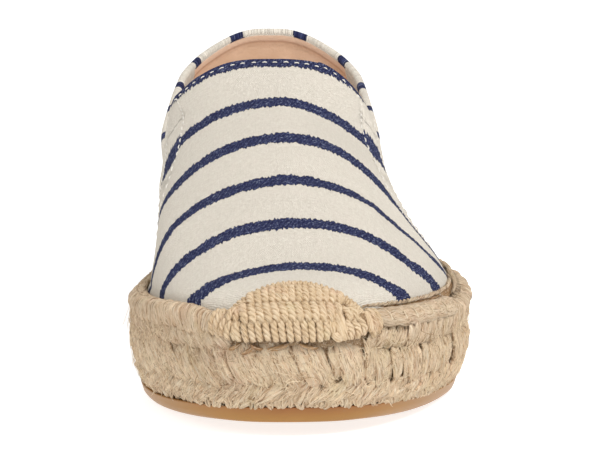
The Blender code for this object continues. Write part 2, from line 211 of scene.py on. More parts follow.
def run_along(p):
    """Distance walked along the last row of points, from 0."""
    step = np.linalg.norm(np.diff(p, axis=-2), axis=-1)
    return np.concatenate([np.zeros(step.shape[:-1] + (1,)), np.cumsum(step, axis=-1)], axis=-1)


def soft_wobble(p, size, scale, seed):
    """Slow uneven swell of a surface: a sum of a few long waves."""
    rng = np.random.default_rng(seed)
    waves = 7
    total = np.zeros(p.shape[:-1])
    for _ in range(waves):
        direction = rng.normal(size=3)
        direction /= np.linalg.norm(direction)
        length = scale * rng.uniform(0.6, 1.6)
        total += np.sin(p @ direction * 2 * np.pi / length + rng.uniform(0, 6.3)) / waves
    return total * size


# ---- The sole's and the upper's surfaces ----

def half_width(s, side, inset):
    s = np.asarray(s, float)
    heel = rounded(s - inset, HEEL_ROUND - inset, HEEL_POWER)
    toe = rounded(LENGTH - inset - s, TOE_ROUND - inset, TOE_POWER)
    return (by_side(SOLE, 1, s, np.asarray(side) < 0) - inset) * heel * toe


def sole_bottom(s):
    lift = np.clip((np.asarray(s, float) - SPRING_START) / (LENGTH - SPRING_START), 0, 1)
    return TOE_SPRING * lift**2


def sole_top(s):
    return sole_bottom(s) + smooth(SOLE, 3, s)


def on_outline(phi, side, inset):
    """Station and x of the sole's outline, inset, phi of the way from heel to toe."""
    s = inset + (LENGTH - 2 * inset) * (1 - np.cos(np.pi * phi)) / 2
    return s, side * half_width(s, side, inset)


def last_point(s, c):
    """Point of the upper's outer face at station s; c is -1 at the medial feather
    line, 0 on the ridge and 1 at the lateral one."""
    s, c = np.broadcast_arrays(np.asarray(s, float), np.asarray(c, float))
    across, medial = np.abs(c), c < 0
    power = by_side(LAST, 2, s, medial)
    ends = rounded(s - RIM, *HEEL_END) * rounded(LENGTH - RIM - s, *TOE_END)
    rise = smooth(LAST, 1, s) * ends * np.clip(1 - across**power, 0, 1) ** (1 / power)
    out = by_side(LAST, 4, s, medial) * ease(rise / WALL_RISE)
    out = out - by_side(PINCH, 1, s, medial) * smooth(PINCH_RISE, 1, rise)
    for on_medial, at, wide, height, tall, size in SWELLS:
        near = np.exp(-(((s - at) / wide) ** 2) - ((rise - height) / tall) ** 2)
        out = out + np.where(medial == on_medial, size * near, 0)
    back = np.clip(1 - (s - RIM) / HEEL_REACH, 0, 1) ** 1.5
    swell = np.sin(np.pi * np.clip(rise / BULGE_TOP, 0, 1))
    lean = back * (HEEL_LEAN * (np.clip(rise, 0, LEAN_TOP) / LEAN_FROM) ** 2 - HEEL_BULGE * swell)
    x = c * half_width(s, np.where(medial, -1, 1), RIM) + np.sign(c) * across**0.5 * out
    return np.stack([s + lean, x, sole_top(s) + GAP + rise], axis=-1)


def section_at(s, rise, side):
    """Section coordinate at station s of the upper's point rise over the feather line."""
    power = by_side(LAST, 2, s, np.asarray(side) < 0)
    ridge = smooth(LAST, 1, s) * rounded(LENGTH - RIM - s, *TOE_END)
    return np.clip(1 - np.clip(rise / ridge, 0, 1) ** power, 0, 1) ** (1 / power) * side


def last_normal(s, c):
    """Outward unit normal of the upper's outer face."""
    s = np.clip(s, RIM + 0.03, LENGTH - RIM - 0.03)
    e, k = 0.02, 0.002
    ds = last_point(s + e, c) - last_point(s - e, c)
    dc = last_point(s, np.clip(c + k, -1, 1)) - last_point(s, np.clip(c - k, -1, 1))
    return unit(np.cross(ds, dc))


CENTRE_S = (LENGTH + GAP + PATCH_THICKNESS) / 2
_stations = np.linspace(0, LENGTH, 1001)
CENTRE_X = (half_width(_stations, -1, 0).max() - half_width(_stations, 1, 0).max()) / 2


def place(points):
    """Last coordinates in millimetres to the frame in metres."""
    p = np.asarray(points, float).reshape(-1, 3)
    return np.column_stack([p[:, 1] + CENTRE_X, CENTRE_S - p[:, 0], p[:, 2]]) * 0.001


# ---- The jute's side wall: u along the outline from the toe tip, medial side
# negative; v down from the crest of the rolled edge, negative over the platform ----

def outline_run(side, inset, count):
    """Fractions, stations and distances from the heel along one side of an outline."""
    phi = np.linspace(0, 1, count)
    s, x = on_outline(phi, side, inset)
    return phi, s, run_along(np.column_stack([s, x]))


def walk_from_tip(side):
    phi, _, run = outline_run(side, 0, 4001)
    return phi, run[-1] - run


WALK = {side: walk_from_tip(side) for side in (-1, 1)}
MEDIAL_RUN, LATERAL_RUN = float(WALK[-1][1][0]), float(WALK[1][1][0])
ROUND = MEDIAL_RUN + LATERAL_RUN


def fraction_at(u):
    """How far from heel to toe the outline has come at distance u from the tip."""
    u = np.asarray(u, float)
    medial, lateral = (np.interp(side * u, WALK[side][1][::-1], WALK[side][0][::-1])
                       for side in (-1, 1))
    return np.where(u < 0, medial, lateral)


def lip_height(s, x):
    blend = ease(0.5 + np.asarray(x, float) / 30)
    side = LIP_MEDIAL + (LIP_LATERAL - LIP_MEDIAL) * blend
    return LIP_LATERAL + (side - LIP_LATERAL) * ease((LENGTH - np.asarray(s, float)) / 40)


def jute_table(columns=1500, rows=40, hidden=0.2):
    """Points and outward directions of the wall by u and v, and its height from the
    crest down to the rubber. The wall's rows start a hidden share below that."""
    u = np.linspace(-MEDIAL_RUN, LATERAL_RUN, columns + 1)
    side, phi = np.where(u < 0, -1, 1), fraction_at(u)
    tall = smooth(SOLE, 3, on_outline(phi, side, 0)[0]) - 5
    lines = []
    for share in np.linspace(-hidden, 1, rows, endpoint=False):
        h = RUBBER + GAP + share * (tall - RUBBER - GAP)
        s, x = on_outline(phi, side, smooth(SOLE_WALL, 1, h))
        lines.append(np.column_stack([s, x, sole_bottom(s) + h]))
    for row in np.linspace(0, 5, 41):
        inset, up, share = (float(smooth(ROLL, k, row)) for k in (1, 2, 3))
        s, x = on_outline(phi, side, inset)
        lines.append(np.column_stack([s, x, sole_top(s) + up + share * lip_height(s, x)]))
    p = np.stack(lines, axis=1)
    run = run_along(p)
    crest = rows + 24                   # the roll's highest line, 2.6 mm in from the outline
    below = run[:, crest : crest + 1] - run
    foot, part = divmod(rows * hidden / (1 + hidden), 1)
    drop = below[:, int(foot)] + (below[:, int(foot) + 1] - below[:, int(foot)]) * part
    v = np.arange(WALL_TOP, 34, WALL_STEP)
    table = np.empty((len(u), len(v), 3))
    for i in range(len(u)):
        for k in range(3):
            table[i, :, k] = np.interp(v, below[i, ::-1], p[i, ::-1, k])
    down = np.gradient(table, axis=1)
    along = np.roll(table, -1, axis=0) - np.roll(table, 1, axis=0)
    along[0] = along[-1] = table[1] - table[-2]
    return u, drop, table, unit(np.cross(down, along))


JUTE_U, JUTE_DROP, JUTE_P, JUTE_N = jute_table()


def drop(u):
    """Distance from the crest down to the rubber at u."""
    around = (np.asarray(u, float) + MEDIAL_RUN) % ROUND - MEDIAL_RUN
    return np.interp(around, JUTE_U, JUTE_DROP)


def sample(table, i, j):
    """A table read between its rows and columns."""
    i0 = np.clip(i.astype(int), 0, table.shape[0] - 2)
    j0 = np.clip(j.astype(int), 0, table.shape[1] - 2)
    a, b = (i - i0)[..., None], np.clip(j - j0, 0, 1)[..., None]
    low = table[i0, j0] * (1 - b) + table[i0, j0 + 1] * b
    high = table[i0 + 1, j0] * (1 - b) + table[i0 + 1, j0 + 1] * b
    return low * (1 - a) + high * a


def jute(u, v, out=0.0):
    """Point of the jute's wall at (u, v), standing off it by out."""
    u, v, out = np.broadcast_arrays(u, v, out)
    i = ((u + MEDIAL_RUN) % ROUND) / ROUND * (len(JUTE_U) - 1)
    j = (v - WALL_TOP) / WALL_STEP
    return sample(JUTE_P, i, j) + unit(sample(JUTE_N, i, j)) * out[..., None]


def wall_normal(u, v):
    return unit(jute(u, v, 0.5) - jute(u, v, 0.0))


def sink(u, v):
    """How much deeper than its plain wall the jute lies: towards the sides, and at its crest."""
    u, v = np.asarray(u, float), np.asarray(v, float)
    side = 0.9 * ease((-u - 24) / 14) + 0.5 * ease((u - 50) / 12)
    side = side + 0.6 * ease((-u - 78) / 15) * (1 - ease((v - 6) / 4))
    deep = side + smooth(CREST, 1, u) * (1 - ease((v - 1) / 3))
    return deep * (1 - 0.65 * ease((-v - 0.7) / 1.6))


# ---- The toe patch: a across it, medial side negative, and b up from its foot ----

def stretched(profile):
    """Upper hull of a profile: the line cloth takes when drawn tight over it."""
    hull = []
    for p in profile:
        while len(hull) > 1:
            a, b = hull[-2], hull[-1]
            if (b[0] - a[0]) * (p[1] - a[1]) - (b[1] - a[1]) * (p[0] - a[0]) < 0:
                break
            hull.pop()
        hull.append(p)
    return np.array(hull)


def patch_table(columns=121, height=23, reach=26):
    b = np.arange(0, height, PATCH_STEP)
    table = np.empty((columns, len(b), 3))
    for k, u in enumerate(np.linspace(-PATCH_HALF_WIDTH, PATCH_HALF_WIDTH, columns) + PATCH_SHIFT):
        side, turn = (-1, 1) if u < 0 else (1, -1)
        here, there = (np.array(on_outline(fraction_at(at), side, 0.0), float)
                       for at in (u, u + 0.5 * side))
        along = unit(there - here)
        inward = np.array([along[1], -along[0]]) * turn
        q = np.linspace(0, reach, 10 * reach + 1)
        plan = here + q[:, None] * inward
        sides = np.where(plan[:, 1] < 0, -1, 1)
        width = np.maximum(half_width(plan[:, 0], sides, RIM), 1e-6)
        vamp = last_point(plan[:, 0], np.clip(np.abs(plan[:, 1]) / width, 0, 1) * sides)[:, 2]
        top = float(sole_top(here[0]))
        roll = top + smooth(PATCH_ROLL, 1, q) + smooth(PATCH_ROLL, 2, q) * LIP_LATERAL
        surface = np.maximum(np.where(q < RIM, roll, top), np.where(q > RIM, vamp, 0))
        foot = np.array([[-0.02, top - PATCH_FOOT]])
        line = stretched(np.concatenate([foot, np.column_stack([q, surface])]))
        slope = unit(np.gradient(line, axis=0))
        line = line + GAP * np.column_stack([-slope[:, 1], slope[:, 0]])
        deep, z = (np.interp(b, run_along(line), line[:, n]) for n in (0, 1))
        table[k] = np.column_stack([here + deep[:, None] * inward, z])
    across, up = np.gradient(table, axis=0), np.gradient(table, axis=1)
    return unit(np.cross(across, up)), table


PATCH_ROLL = tuple(row[1:] for row in ROLL)
PATCH_N, PATCH_P = patch_table()


def patch(a, b, out=0.0):
    """Point of the toe patch at (a, b), standing off the jute and vamp by out."""
    a, b, out = np.broadcast_arrays(a, b, out)
    i = np.clip((a / PATCH_HALF_WIDTH + 1) / 2, 0, 1) * (PATCH_P.shape[0] - 1)
    j = np.clip(b / PATCH_STEP, 0, PATCH_P.shape[1] - 1)
    return sample(PATCH_P, i, j) + unit(sample(PATCH_N, i, j)) * out[..., None]


def patch_reach(a):
    """Height of the half-moon's edge above the patch's foot."""
    arc = np.sqrt(np.clip(1 - (np.asarray(a) / PATCH_HALF_WIDTH) ** 2, 0, 1))
    return PATCH_STRAIGHT + MOON_CROWN * arc


# ---- Meshes ----

def link(name, data):
    """Puts a mesh, a light or a camera into the scene as a new object."""
    ob = bpy.data.objects.new(name, data)
    bpy.context.scene.collection.objects.link(ob)
    return ob


def solid(name, points, faces, material, slot, **attributes):
    """Adds one mesh object. Faces are rows of four point numbers, the last -1 in a
    triangle; attributes hold three numbers a point."""
    mesh = bpy.data.meshes.new(name)
    co = place(points)
    if (faces >= 0).all():
        mesh.vertices.add(len(co))
        mesh.vertices.foreach_set("co", co.ravel())
        mesh.loops.add(faces.size)
        mesh.loops.foreach_set("vertex_index", faces.ravel().astype(np.int32))
        mesh.polygons.add(len(faces))
        mesh.polygons.foreach_set("loop_start", np.arange(0, faces.size, 4, dtype=np.int32))
    else:
        mesh.from_pydata(co.tolist(), [], [[i for i in f if i >= 0] for f in faces.tolist()])
    for key, value in attributes.items():
        layer = mesh.attributes.new(key, "FLOAT_VECTOR", "POINT")
        layer.data.foreach_set("vector", np.asarray(value, np.float32).ravel())
    mesh.materials.append(material)
    mesh.update(calc_edges=True)
    mesh.validate()
    mesh.shade_smooth()
    ob = link(name, mesh)
    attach(ob, "root")
    return ob


def grid_faces(n, m, wrap=False, flip=False, start=0):
    """Quads of an n by m grid of points numbered row by row; wrap closes each row."""
    i, j = np.meshgrid(np.arange(n - 1), np.arange(m if wrap else m - 1), indexing="ij")
    i, j = i.ravel() * m, j.ravel()
    after = (j + 1) % m
    quad = np.stack([i + j, i + m + j, i + m + after, i + after], axis=1)
    return (quad[:, ::-1] if flip else quad) + start


def skin(rings, count, flip=False, seam=False):
    """Faces of a closed body of rings of count points, its ends closed rung by rung. With
    a seam, the rungs start from one point of the ring and are wound as the sides are;
    without one, they are wound the other way."""
    ends = []
    for first, turn in ((0, flip == seam), ((rings - 1) * count, flip != seam)):
        loop = [*range(first, first + count)] + [first] * seam
        for rung in zip(loop, loop[1 : (len(loop) + 1) // 2], loop[-2::-1], loop[::-1]):
            face = list(dict.fromkeys(rung))
            ends.append((face[::-1] if turn else face) + [-1] * (4 - len(face)))
    return np.concatenate([grid_faces(rings, count, wrap=True, flip=flip), np.array(ends)])


class Heap:
    """Collects many small closed strands into one mesh. yarn holds millimetres along and
    across a strand and the strand's own shade."""

    def __init__(self):
        self.points, self.faces, self.yarn, self.count = [], [], [], 0

    def add(self, points, faces, yarn):
        self.points.append(points)
        self.faces.append(np.where(faces < 0, -1, faces + self.count))
        self.yarn.append(yarn)
        self.count += len(points)

    def add_tube(self, path, radius, sides=6, tint=0.5, flat=1.0, up=None, plies=0,
                 ply_depth=0.0, twist=0.0):
        """A closed tube along path. A yarn of several plies has a lobed section that
        turns by twist radians a millimetre."""
        n = len(path)
        along, run = unit(np.gradient(path, axis=0)), run_along(path)
        if up is None:
            up = np.array([0.0, 0.0, 1.0]) if abs(along[0, 2]) < 0.9 else np.array([1.0, 0.0, 0.0])
        side = unit(np.cross(along, np.broadcast_to(up, path.shape)))
        top = np.cross(side, along)
        t = run / max(run[-1], 1e-6)
        r = radius * np.sqrt(np.clip(1 - np.abs(2 * t - 1) ** 6, 0.02, 1))
        turn = np.linspace(0, 2 * np.pi, sides, endpoint=False)
        lobes = 0.5 - 0.5 * np.cos(plies * (turn[None] - twist * run[:, None]))
        r = r[:, None] * (1 - ply_depth * lobes)
        points = (path[:, None] + (r * np.cos(turn))[..., None] * side[:, None]
                  + (flat * r * np.sin(turn))[..., None] * top[:, None])
        girth = np.tile(np.arange(sides) / sides, n) * 2 * math.pi * np.mean(radius)
        yarn = np.stack([np.repeat(run, sides), girth, np.full(n * sides, tint)], axis=1)
        self.add(points.reshape(-1, 3), skin(n, sides, flip=True), yarn)

    def build(self, name, material, slot):
        return solid(name, np.concatenate(self.points), np.concatenate(self.faces), material,
                     slot, yarn=np.concatenate(self.yarn))


def twist_cord(heap, path, normal, radius, turn=1.5, tint=0.5, plies=3, blunt=5.0):
    """Cord of a few plies twisted together along path."""
    along = unit(np.gradient(path, axis=0))
    side = unit(np.cross(along, normal))
    top = np.cross(side, along)
    run = run_along(path)
    draw = (1 - np.abs(2 * run / run[-1] - 1) ** blunt) * 0.55 + 0.45
    for ply in range(plies):
        angle = (turn * run + ply * 2 * math.pi / plies)[:, None]
        away = np.cos(angle) * side + np.sin(angle) * top
        heap.add_tube(path + (radius * 0.52 * draw)[:, None] * away, radius * 0.56, tint=tint,
                      up=normal)


def leaf(heap, rng, start, end, wide, tall, base=0.0, bow=0.0, lean=0.0, tint=0.5,
         tuck=(0.9, 0.9), along=18, upper=14, lower=4, blunt=2.6):
    """One flattened strand lying on the wall from start to end, given as (u, v). A pair of
    numbers for a size is a range to draw it from. The strand's ends sink by tuck, one edge
    lies higher by lean and its fibres gather in bundles."""
    wide, tall, base, bow, lean, tint = (rng.uniform(*value) if isinstance(value, tuple) else value
                                         for value in (wide, tall, base, bow, lean, tint))
    t = np.linspace(0.004, 0.996, along)
    start, end = np.array(start, float), np.array(end, float)
    length = np.linalg.norm(end - start)
    run = (end - start) / length
    cross = np.array([-run[1], run[0]])
    middle = start + t[:, None] * run * length + (bow * np.sin(np.pi * t))[:, None] * cross
    swell = (1 - np.abs(2 * t - 1) ** blunt) ** 0.55
    turn = np.concatenate([np.linspace(0, np.pi, upper, endpoint=False),
                           np.linspace(np.pi, 2 * np.pi, lower, endpoint=False)])
    side, top = np.cos(turn), np.sin(turn)
    side = np.sign(side) * np.abs(side) ** 0.8
    top = np.where(top > 0, np.abs(top) ** 0.75, -0.5 * np.abs(top))
    offset = side[None] * (wide * swell)[:, None]
    u, v = (middle[:, k : k + 1] + offset * cross[k] for k in (0, 1))
    phase = rng.uniform(0, 6.3, 6)
    reach = t[:, None] * length
    bundle = (
        0.11 * np.sin(offset * 5.2 + phase[0] + 0.22 * reach)
        + 0.08 * np.sin(offset * 9.1 + phase[1] - 0.35 * reach)
        + 0.05 * np.sin(offset * 2.3 + 0.9 * reach + phase[2])
    )
    out = (
        base
        - (np.where(t < 0.5, *tuck) * np.abs(2 * t - 1) ** 3)[:, None]
        + (tall * swell)[:, None] * top[None]
        + lean * side[None]
        + np.where(top > 0, bundle * np.minimum(1, 2 * swell[:, None]), 0)
    )
    yarn = np.stack([np.broadcast_to(reach, offset.shape), offset + 3 * phase[3],
                     np.full(offset.shape, tint)], axis=-1)
    heap.add(jute(u, v, out - sink(u, v)).reshape(-1, 3), skin(along, upper + lower),
             yarn.reshape(-1, 3))


def ring_order(n):
    """Fractions and sides of a ring round the sole: medial side forward, lateral side back."""
    phi = np.concatenate([np.linspace(0, 1, n + 1), np.linspace(1, 0, n + 1)[1:-1]])
    return phi, np.concatenate([-np.ones(n + 1), np.ones(n - 1)])


def ring_u(phi, side):
    """Distance along the outline from the toe tip, on either side counted up."""
    return np.where(side < 0, np.interp(phi, *WALK[-1]), np.interp(phi, *WALK[1]))


def stacked(name, rings, material, slot, **attributes):
    """Closed solid from rings round the sole, lowest first."""
    faces = skin(len(rings), len(rings[0]), flip=True, seam=True)
    return solid(name, np.concatenate(rings), faces, material, slot, **attributes)


# ---- Materials ----

class Value:
    """A value in a material; a sum on it adds a Math node."""

    def __init__(self, graph, socket):
        self.graph, self.socket = graph, socket

    def __add__(self, other):
        return self.graph.math("ADD", self, other)

    def __mul__(self, other):
        return self.graph.math("MULTIPLY", self, other)

    def __sub__(self, other):
        return self.graph.math("SUBTRACT", self, other)

    def __rsub__(self, other):
        return self.graph.math("SUBTRACT", other, self)


class Graph:
    """A material with one Principled shader and short ways to add nodes to it."""

    def __init__(self, name):
        self.material = bpy.data.materials.new(name)
        self.material.use_nodes = True
        self.tree = self.material.node_tree
        self.shader = self.tree.nodes["Principled BSDF"]

    def put(self, socket, value):
        if isinstance(value, Value):
            self.tree.links.new(value.socket, socket)
        elif isinstance(value, tuple):
            socket.default_value = value + (1.0,) * (len(value) == 3 and socket.type == "RGBA")
        else:
            socket.default_value = value

    def node(self, kind, inputs, output=0, **settings):
        """Adds a node, sets its inputs by place or name and returns one of its outputs."""
        node = self.tree.nodes.new("ShaderNode" + kind)
        for key, value in settings.items():
            setattr(node, key, value)
        for key, value in inputs.items():
            self.put(node.inputs[key], value)
        return Value(self, node.outputs[output])

    def finished(self, colour, bump=None, **values):
        """The material, with its shader's inputs set; bump is height, strength, distance."""
        for key, value in {"Base Color": colour, **values}.items():
            self.put(self.shader.inputs[key.replace("_", " ")], value)
        if bump:
            inputs = dict(zip(("Height", "Strength", "Distance"), bump))
            self.put(self.shader.inputs["Normal"], self.node("Bump", inputs))
        return self.material

    def split(self, vector):
        x = self.node("SeparateXYZ", {0: vector})
        return [Value(self, socket) for socket in x.socket.node.outputs]

    def read(self, name):
        """The three parts of a mesh attribute."""
        return self.split(self.node("Attribute", {}, "Vector", attribute_name=name))

    def math(self, operation, a, b=0.0):
        return self.node("Math", {0: a, 1: b}, operation=operation)

    def span(self, value, low, high, to_low=0.0, to_high=1.0):
        """Goes smoothly from to_low to to_high as value goes from low to high."""
        places = enumerate((value, low, high, to_low, to_high))
        return self.node("MapRange", dict(places), interpolation_type="SMOOTHSTEP")

    def mix(self, factor, a, b):
        return self.node("Mix", {0: factor, 6: a, 7: b}, 2, data_type="RGBA")

    def layers(self, colour, *rows):
        """Lays colours over one another. A row holds a value, the span over which it
        changes, how strongly the colour covers at either end, and the colour."""
        for *span, cover in rows:
            colour = self.mix(self.span(*span), colour, cover)
        return colour

    def position(self):
        return self.node("TexCoord", {}, "Object")

    def noise(self, at, scale, detail=3.0, rough=0.5, distortion=0.0):
        """Noise over the object's own metres where at is None, or over two or three values."""
        if at is None:
            at = self.position()
        else:
            at = self.node("CombineXYZ", dict(enumerate(at)))
        return self.node("TexNoise", {"Vector": at, "Scale": scale, "Detail": detail,
                                      "Roughness": rough, "Distortion": distortion})


CREAM, CREAM_DARK, CREAM_LIGHT = (0.82, 0.765, 0.665), (0.56, 0.49, 0.40), (0.90, 0.86, 0.78)
NAVY, NAVY_LIGHT, NAVY_GLINT = (0.015, 0.018, 0.062), (0.10, 0.12, 0.26), (0.30, 0.34, 0.48)
TAN, TAN_DARK = (0.76, 0.52, 0.37), (0.64, 0.42, 0.28)
JUTE_PALE, JUTE_MID, JUTE_DARK = (0.80, 0.635, 0.44), (0.68, 0.49, 0.32), (0.21, 0.11, 0.05)
YARN_PALE, YARN_DARK = (0.69, 0.53, 0.355), (0.40, 0.25, 0.13)


def canvas_material(name, lined):
    """Striped canvas outside; inside, below the rim, the lining where lined is true.
    cloth holds the stripe coordinate, the coordinate along a stripe and the distance
    below the edge, negative on the inside."""
    g = Graph(name)
    f, a, depth = g.read("cloth")
    # a plain weave with uneven yarns
    yarn = 2 * math.pi / 0.62
    slub, other = g.noise((f, a, 0.0), 0.9, 2.0), g.noise((a, f, 4.0), 0.9, 2.0)
    height = g.math("SINE", f * yarn + slub * 9.0) * g.math("SINE", a * yarn + other * 9.0)
    thread = g.noise((f * 0.35, a * 2.6, 5.0), 1.0, 3.0, 0.6)
    pick = g.noise((f * 2.6, a * 0.35, 9.0), 1.0, 3.0, 0.6)
    # ragged edges: thick navy picks turning round the last cream yarn
    wave = a + g.noise((a, f * 0.1), 0.5, 2.0) * 2.5
    saw = g.math("SINE", wave * (2 * math.pi / 1.55))
    wander = g.noise((a * 0.35, f * 0.05), 1.0)
    tooth = g.noise((a * 2.2, f * 0.4, 3.0), 1.0, 2.0)
    ragged = saw * 0.24 + (wander - 0.5) * 1.7 + (tooth - 0.5) * 2.1
    inside = STRIPE_HALF - (g.math("PINGPONG", f, STRIPE_PITCH / 2) + ragged)
    stripe = g.span(inside, -0.12, 0.12)
    fleck = g.noise((f * 1.1, a * 2.2, 1.0), 1.3, 4.0, 0.8)
    glint = g.noise((f + a, (a - f) * 0.35, 7.0), 2.1, 2.0, 0.6)
    twill = g.math("SINE", f * 2.6 + wave * 5.0)
    navy = g.layers(
        NAVY,
        (fleck, 0.50, 0.70, 0.0, 0.80, NAVY_LIGHT),
        (twill, 0.3, 1.0, 0.0, 0.22, NAVY_LIGHT),
        (glint, 0.58, 0.69, 0.0, 0.75, NAVY_GLINT),
        # painted shade: the navy darkens within half a millimetre of the stripe's edge, where the
        # raised stripe meets the cream
        (g.math("ABSOLUTE", inside), 0.0, 0.5, 0.5, 0.0, (0.008, 0.009, 0.022)),
    )
    mottle = g.noise((f * 0.5, a), 0.35, 4.0, 0.6)
    cream = g.layers(
        CREAM,
        (height, -1.0, 0.3, 0.42, 0.0, CREAM_DARK),
        (slub, 0.35, 0.70, 0.20, 0.0, CREAM_DARK),
        (thread, 0.50, 0.30, 0.0, 0.22, CREAM_DARK),
        (pick, 0.50, 0.30, 0.0, 0.22, CREAM_DARK),
        (thread, 0.58, 0.72, 0.0, 0.45, CREAM_LIGHT),
        (mottle, 0.3, 0.7, 0.0, 0.16, (0.80, 0.70, 0.62)),
    )
    colour = g.mix(stripe, cream, navy)
    bulge = height + stripe * 1.2 + fleck * (stripe * 1.5)
    if lined:
        under = depth * -1.0
        below_rim = g.span(under, 1.7, 2.0)
        tan = g.layers(
            TAN,
            (g.noise(None, 60.0), 0.35, 0.7, 0.0, 1.0, TAN_DARK),
            (under, 3.6, 4.2, 0.45, 0.0, (0.74, 0.53, 0.40)),
        )
        # dark line along the lining's seam: partly the seam itself, partly painted shade under the
        # fold above it
        seam = g.span(under, 3.3, 3.9) * g.span(under, 3.9, 4.8, 1.0, 0.0)
        tan = g.mix(seam * 0.5, tan, (0.38, 0.19, 0.12))
        from_heel = g.math("ABSOLUTE", f - STRIPE_PITCH / 2)
        within = below_rim * g.span(from_heel, 36.0, 36.8, 1.0, 0.0)
        colour = g.mix(within, g.mix(below_rim, colour, cream), tan)
        bulge = g.mix(within, bulge, g.noise(None, 900.0, 4.0, 0.6) * 1.2)
    return g.finished(colour, (bulge, 0.8, 0.00022), Roughness=0.95, Specular_IOR_Level=0.06,
                      Sheen_Weight=0.03, Sheen_Roughness=0.5)


def thread_material():
    g = Graph("cotton_thread")
    n = g.noise(None, 1400.0, 3.0, 0.6)
    colour = g.mix(g.span(n, 0.3, 0.7), (0.68, 0.64, 0.57), (0.83, 0.79, 0.72))
    return g.finished(colour, (n, 0.3, 0.0001), Roughness=0.9, Specular_IOR_Level=0.25,
                      Sheen_Weight=0.2)


def jute_material(name, pale, mid, dark, lit=(0.84, 0.73, 0.57), strength=1.0):
    """Raw jute: streaks along the fibres, following yarn."""
    g = Graph(name)
    along, across, tint = g.read("yarn")
    shade = tint * 37.0
    across = across + g.noise(None, 260.0, 2.0) * 1.3
    fine = g.noise((along * 0.13, across, shade), 2.9, 3.0, 0.65)
    coarse = g.noise((along * 0.10, across, shade), 1.1, 2.0, 0.55, 0.3)
    patchy = g.noise(None, 260.0, 4.0, 0.65)
    speck = g.noise(None, 1150.0, 3.0, 0.75)
    hue = g.noise(None, 120.0, 2.0)
    colour = g.layers(
        mid,
        (coarse, 0.34, 0.62, 0.0, 1.0, pale),
        (hue, 0.55, 0.75, 0.0, 0.40, (0.66, 0.42, 0.29)),
        (hue, 0.45, 0.25, 0.0, 0.40, (0.60, 0.50, 0.29)),
        # painted highlights and painted shade: the pale fine streaks (lit) stand for light catching
        # the fibres, the dark ones for shade in the gaps between them
        (fine, 0.54, 0.66, 0.0, 0.85, lit),
        (fine, 0.47, 0.33, 0.0, 0.80, dark),
        (patchy, 0.60, 0.75, 0.0, 0.30, dark),
        # the pale specks (lit) are painted highlights too
        (speck, 0.60, 0.72, 0.0, 0.35, lit),
        (speck, 0.42, 0.30, 0.0, 0.45, dark),
        (tint, 0.0, 0.35, 0.22, 0.0, dark),
    )
    height = fine * 1.5 + coarse * 1.8 + speck * 0.5
    return g.finished(colour, (height, strength, 0.0006), Roughness=0.82, Specular_IOR_Level=0.18)


def fibre_material():
    g = Graph("jute_fibre")
    # loose fibres run from dark brown to pale by their tint; the dark ones are partly darker
    # fibres, partly painted shade: thin dark lines for the gaps between fibres
    colour = g.layers(
        (0.30, 0.17, 0.08),
        (g.read("yarn")[2], 0.0, 0.75, 0.0, 1.0, (0.84, 0.70, 0.50)),
        (g.noise(None, 500.0, 2.0), 0.4, 0.7, 0.0, 0.4, (0.60, 0.42, 0.24)),
    )
    return g.finished(colour, Roughness=0.7, Specular_IOR_Level=0.25)


def rubber_material():
    g = Graph("gum_rubber")
    speck = g.noise(None, 700.0, 4.0, 0.7)
    colour = g.layers(
        (0.32, 0.15, 0.028),
        # painted shade: darker and more saturated towards the top of the raised toe's rubber, under
        # the jute that overhangs it
        (g.split(g.position())[2], 0.0045, 0.0085, 0.0, 1.0, (0.27, 0.092, 0.018)),
        (g.noise(None, 45.0), 0.35, 0.7, 0.0, 0.35, (0.38, 0.19, 0.045)),
        (speck, 0.62, 0.72, 0.0, 0.5, (0.28, 0.14, 0.05)),
    )
    return g.finished(colour, (speck, 0.12, 0.0002), Roughness=0.42, Specular_IOR_Level=0.4,
                      Coat_Weight=0.08, Coat_Roughness=0.35)


def footbed_material():
    g = Graph("footbed_leather")
    grain = g.noise(None, 900.0, 5.0, 0.65)
    colour = g.layers(
        TAN,
        (g.noise(None, 55.0), 0.3, 0.7, 0.0, 1.0, TAN_DARK),
        (grain, 0.3, 0.6, 0.25, 0.0, (0.36, 0.22, 0.13)),
    )
    return g.finished(colour, (grain, 0.35, 0.0003), Roughness=0.6, Specular_IOR_Level=0.3)


# ---- Upper ----

def feet_between(side, low, high, count):
    """Feather stations evenly spaced from low to high, and their distances from the heel."""
    _, s, run = outline_run(side, RIM, 2000)
    even = np.linspace(*np.interp((low, high), s, run), count)
    return np.interp(even, run, s), even


def rib_grid(feet, side, edge, rows, fine=900):
    """Stations and section coordinates of lines from the feather line up to edge."""
    goal = smooth(GATHER, 1, feet)[:, None]
    w = (np.linspace(0, 1, fine) ** 2.5)[None]
    s = feet[:, None] + w * (goal - feet[:, None])
    foot = half_width(feet, side, RIM)[:, None]
    c = np.clip(foot * (1 - w) / np.maximum(half_width(s, side, RIM), 1e-6), 0, 1) * side
    p = last_point(s, c)
    over = p[..., 2] - smooth(edge, 1, s)
    out = np.empty((len(feet), rows, 2))
    for k in range(len(feet)):
        end = max(int(np.argmax(over[k] > 0)), 1)
        part = float(np.clip(over[k, end - 1] / (over[k, end - 1] - over[k, end]), 0, 1))
        line = np.column_stack([p[k], s[k], c[k]])[: end + 1]
        line[-1] = line[-2] + part * (line[-1] - line[-2])
        run = run_along(line[:, :3])
        at = np.linspace(0, run[-1], rows)
        out[k] = np.column_stack([np.interp(at, run, line[:, n]) for n in (3, 4)])
    return out[..., 0], out[..., 1]


def both_sides(medial, lateral, edge, rows):
    """Ribs of the medial side and then of the lateral side."""
    ribs = rib_grid(medial, -1, edge[-1], rows), rib_grid(lateral, 1, edge[1], rows)
    return (np.concatenate(pair) for pair in zip(*ribs))


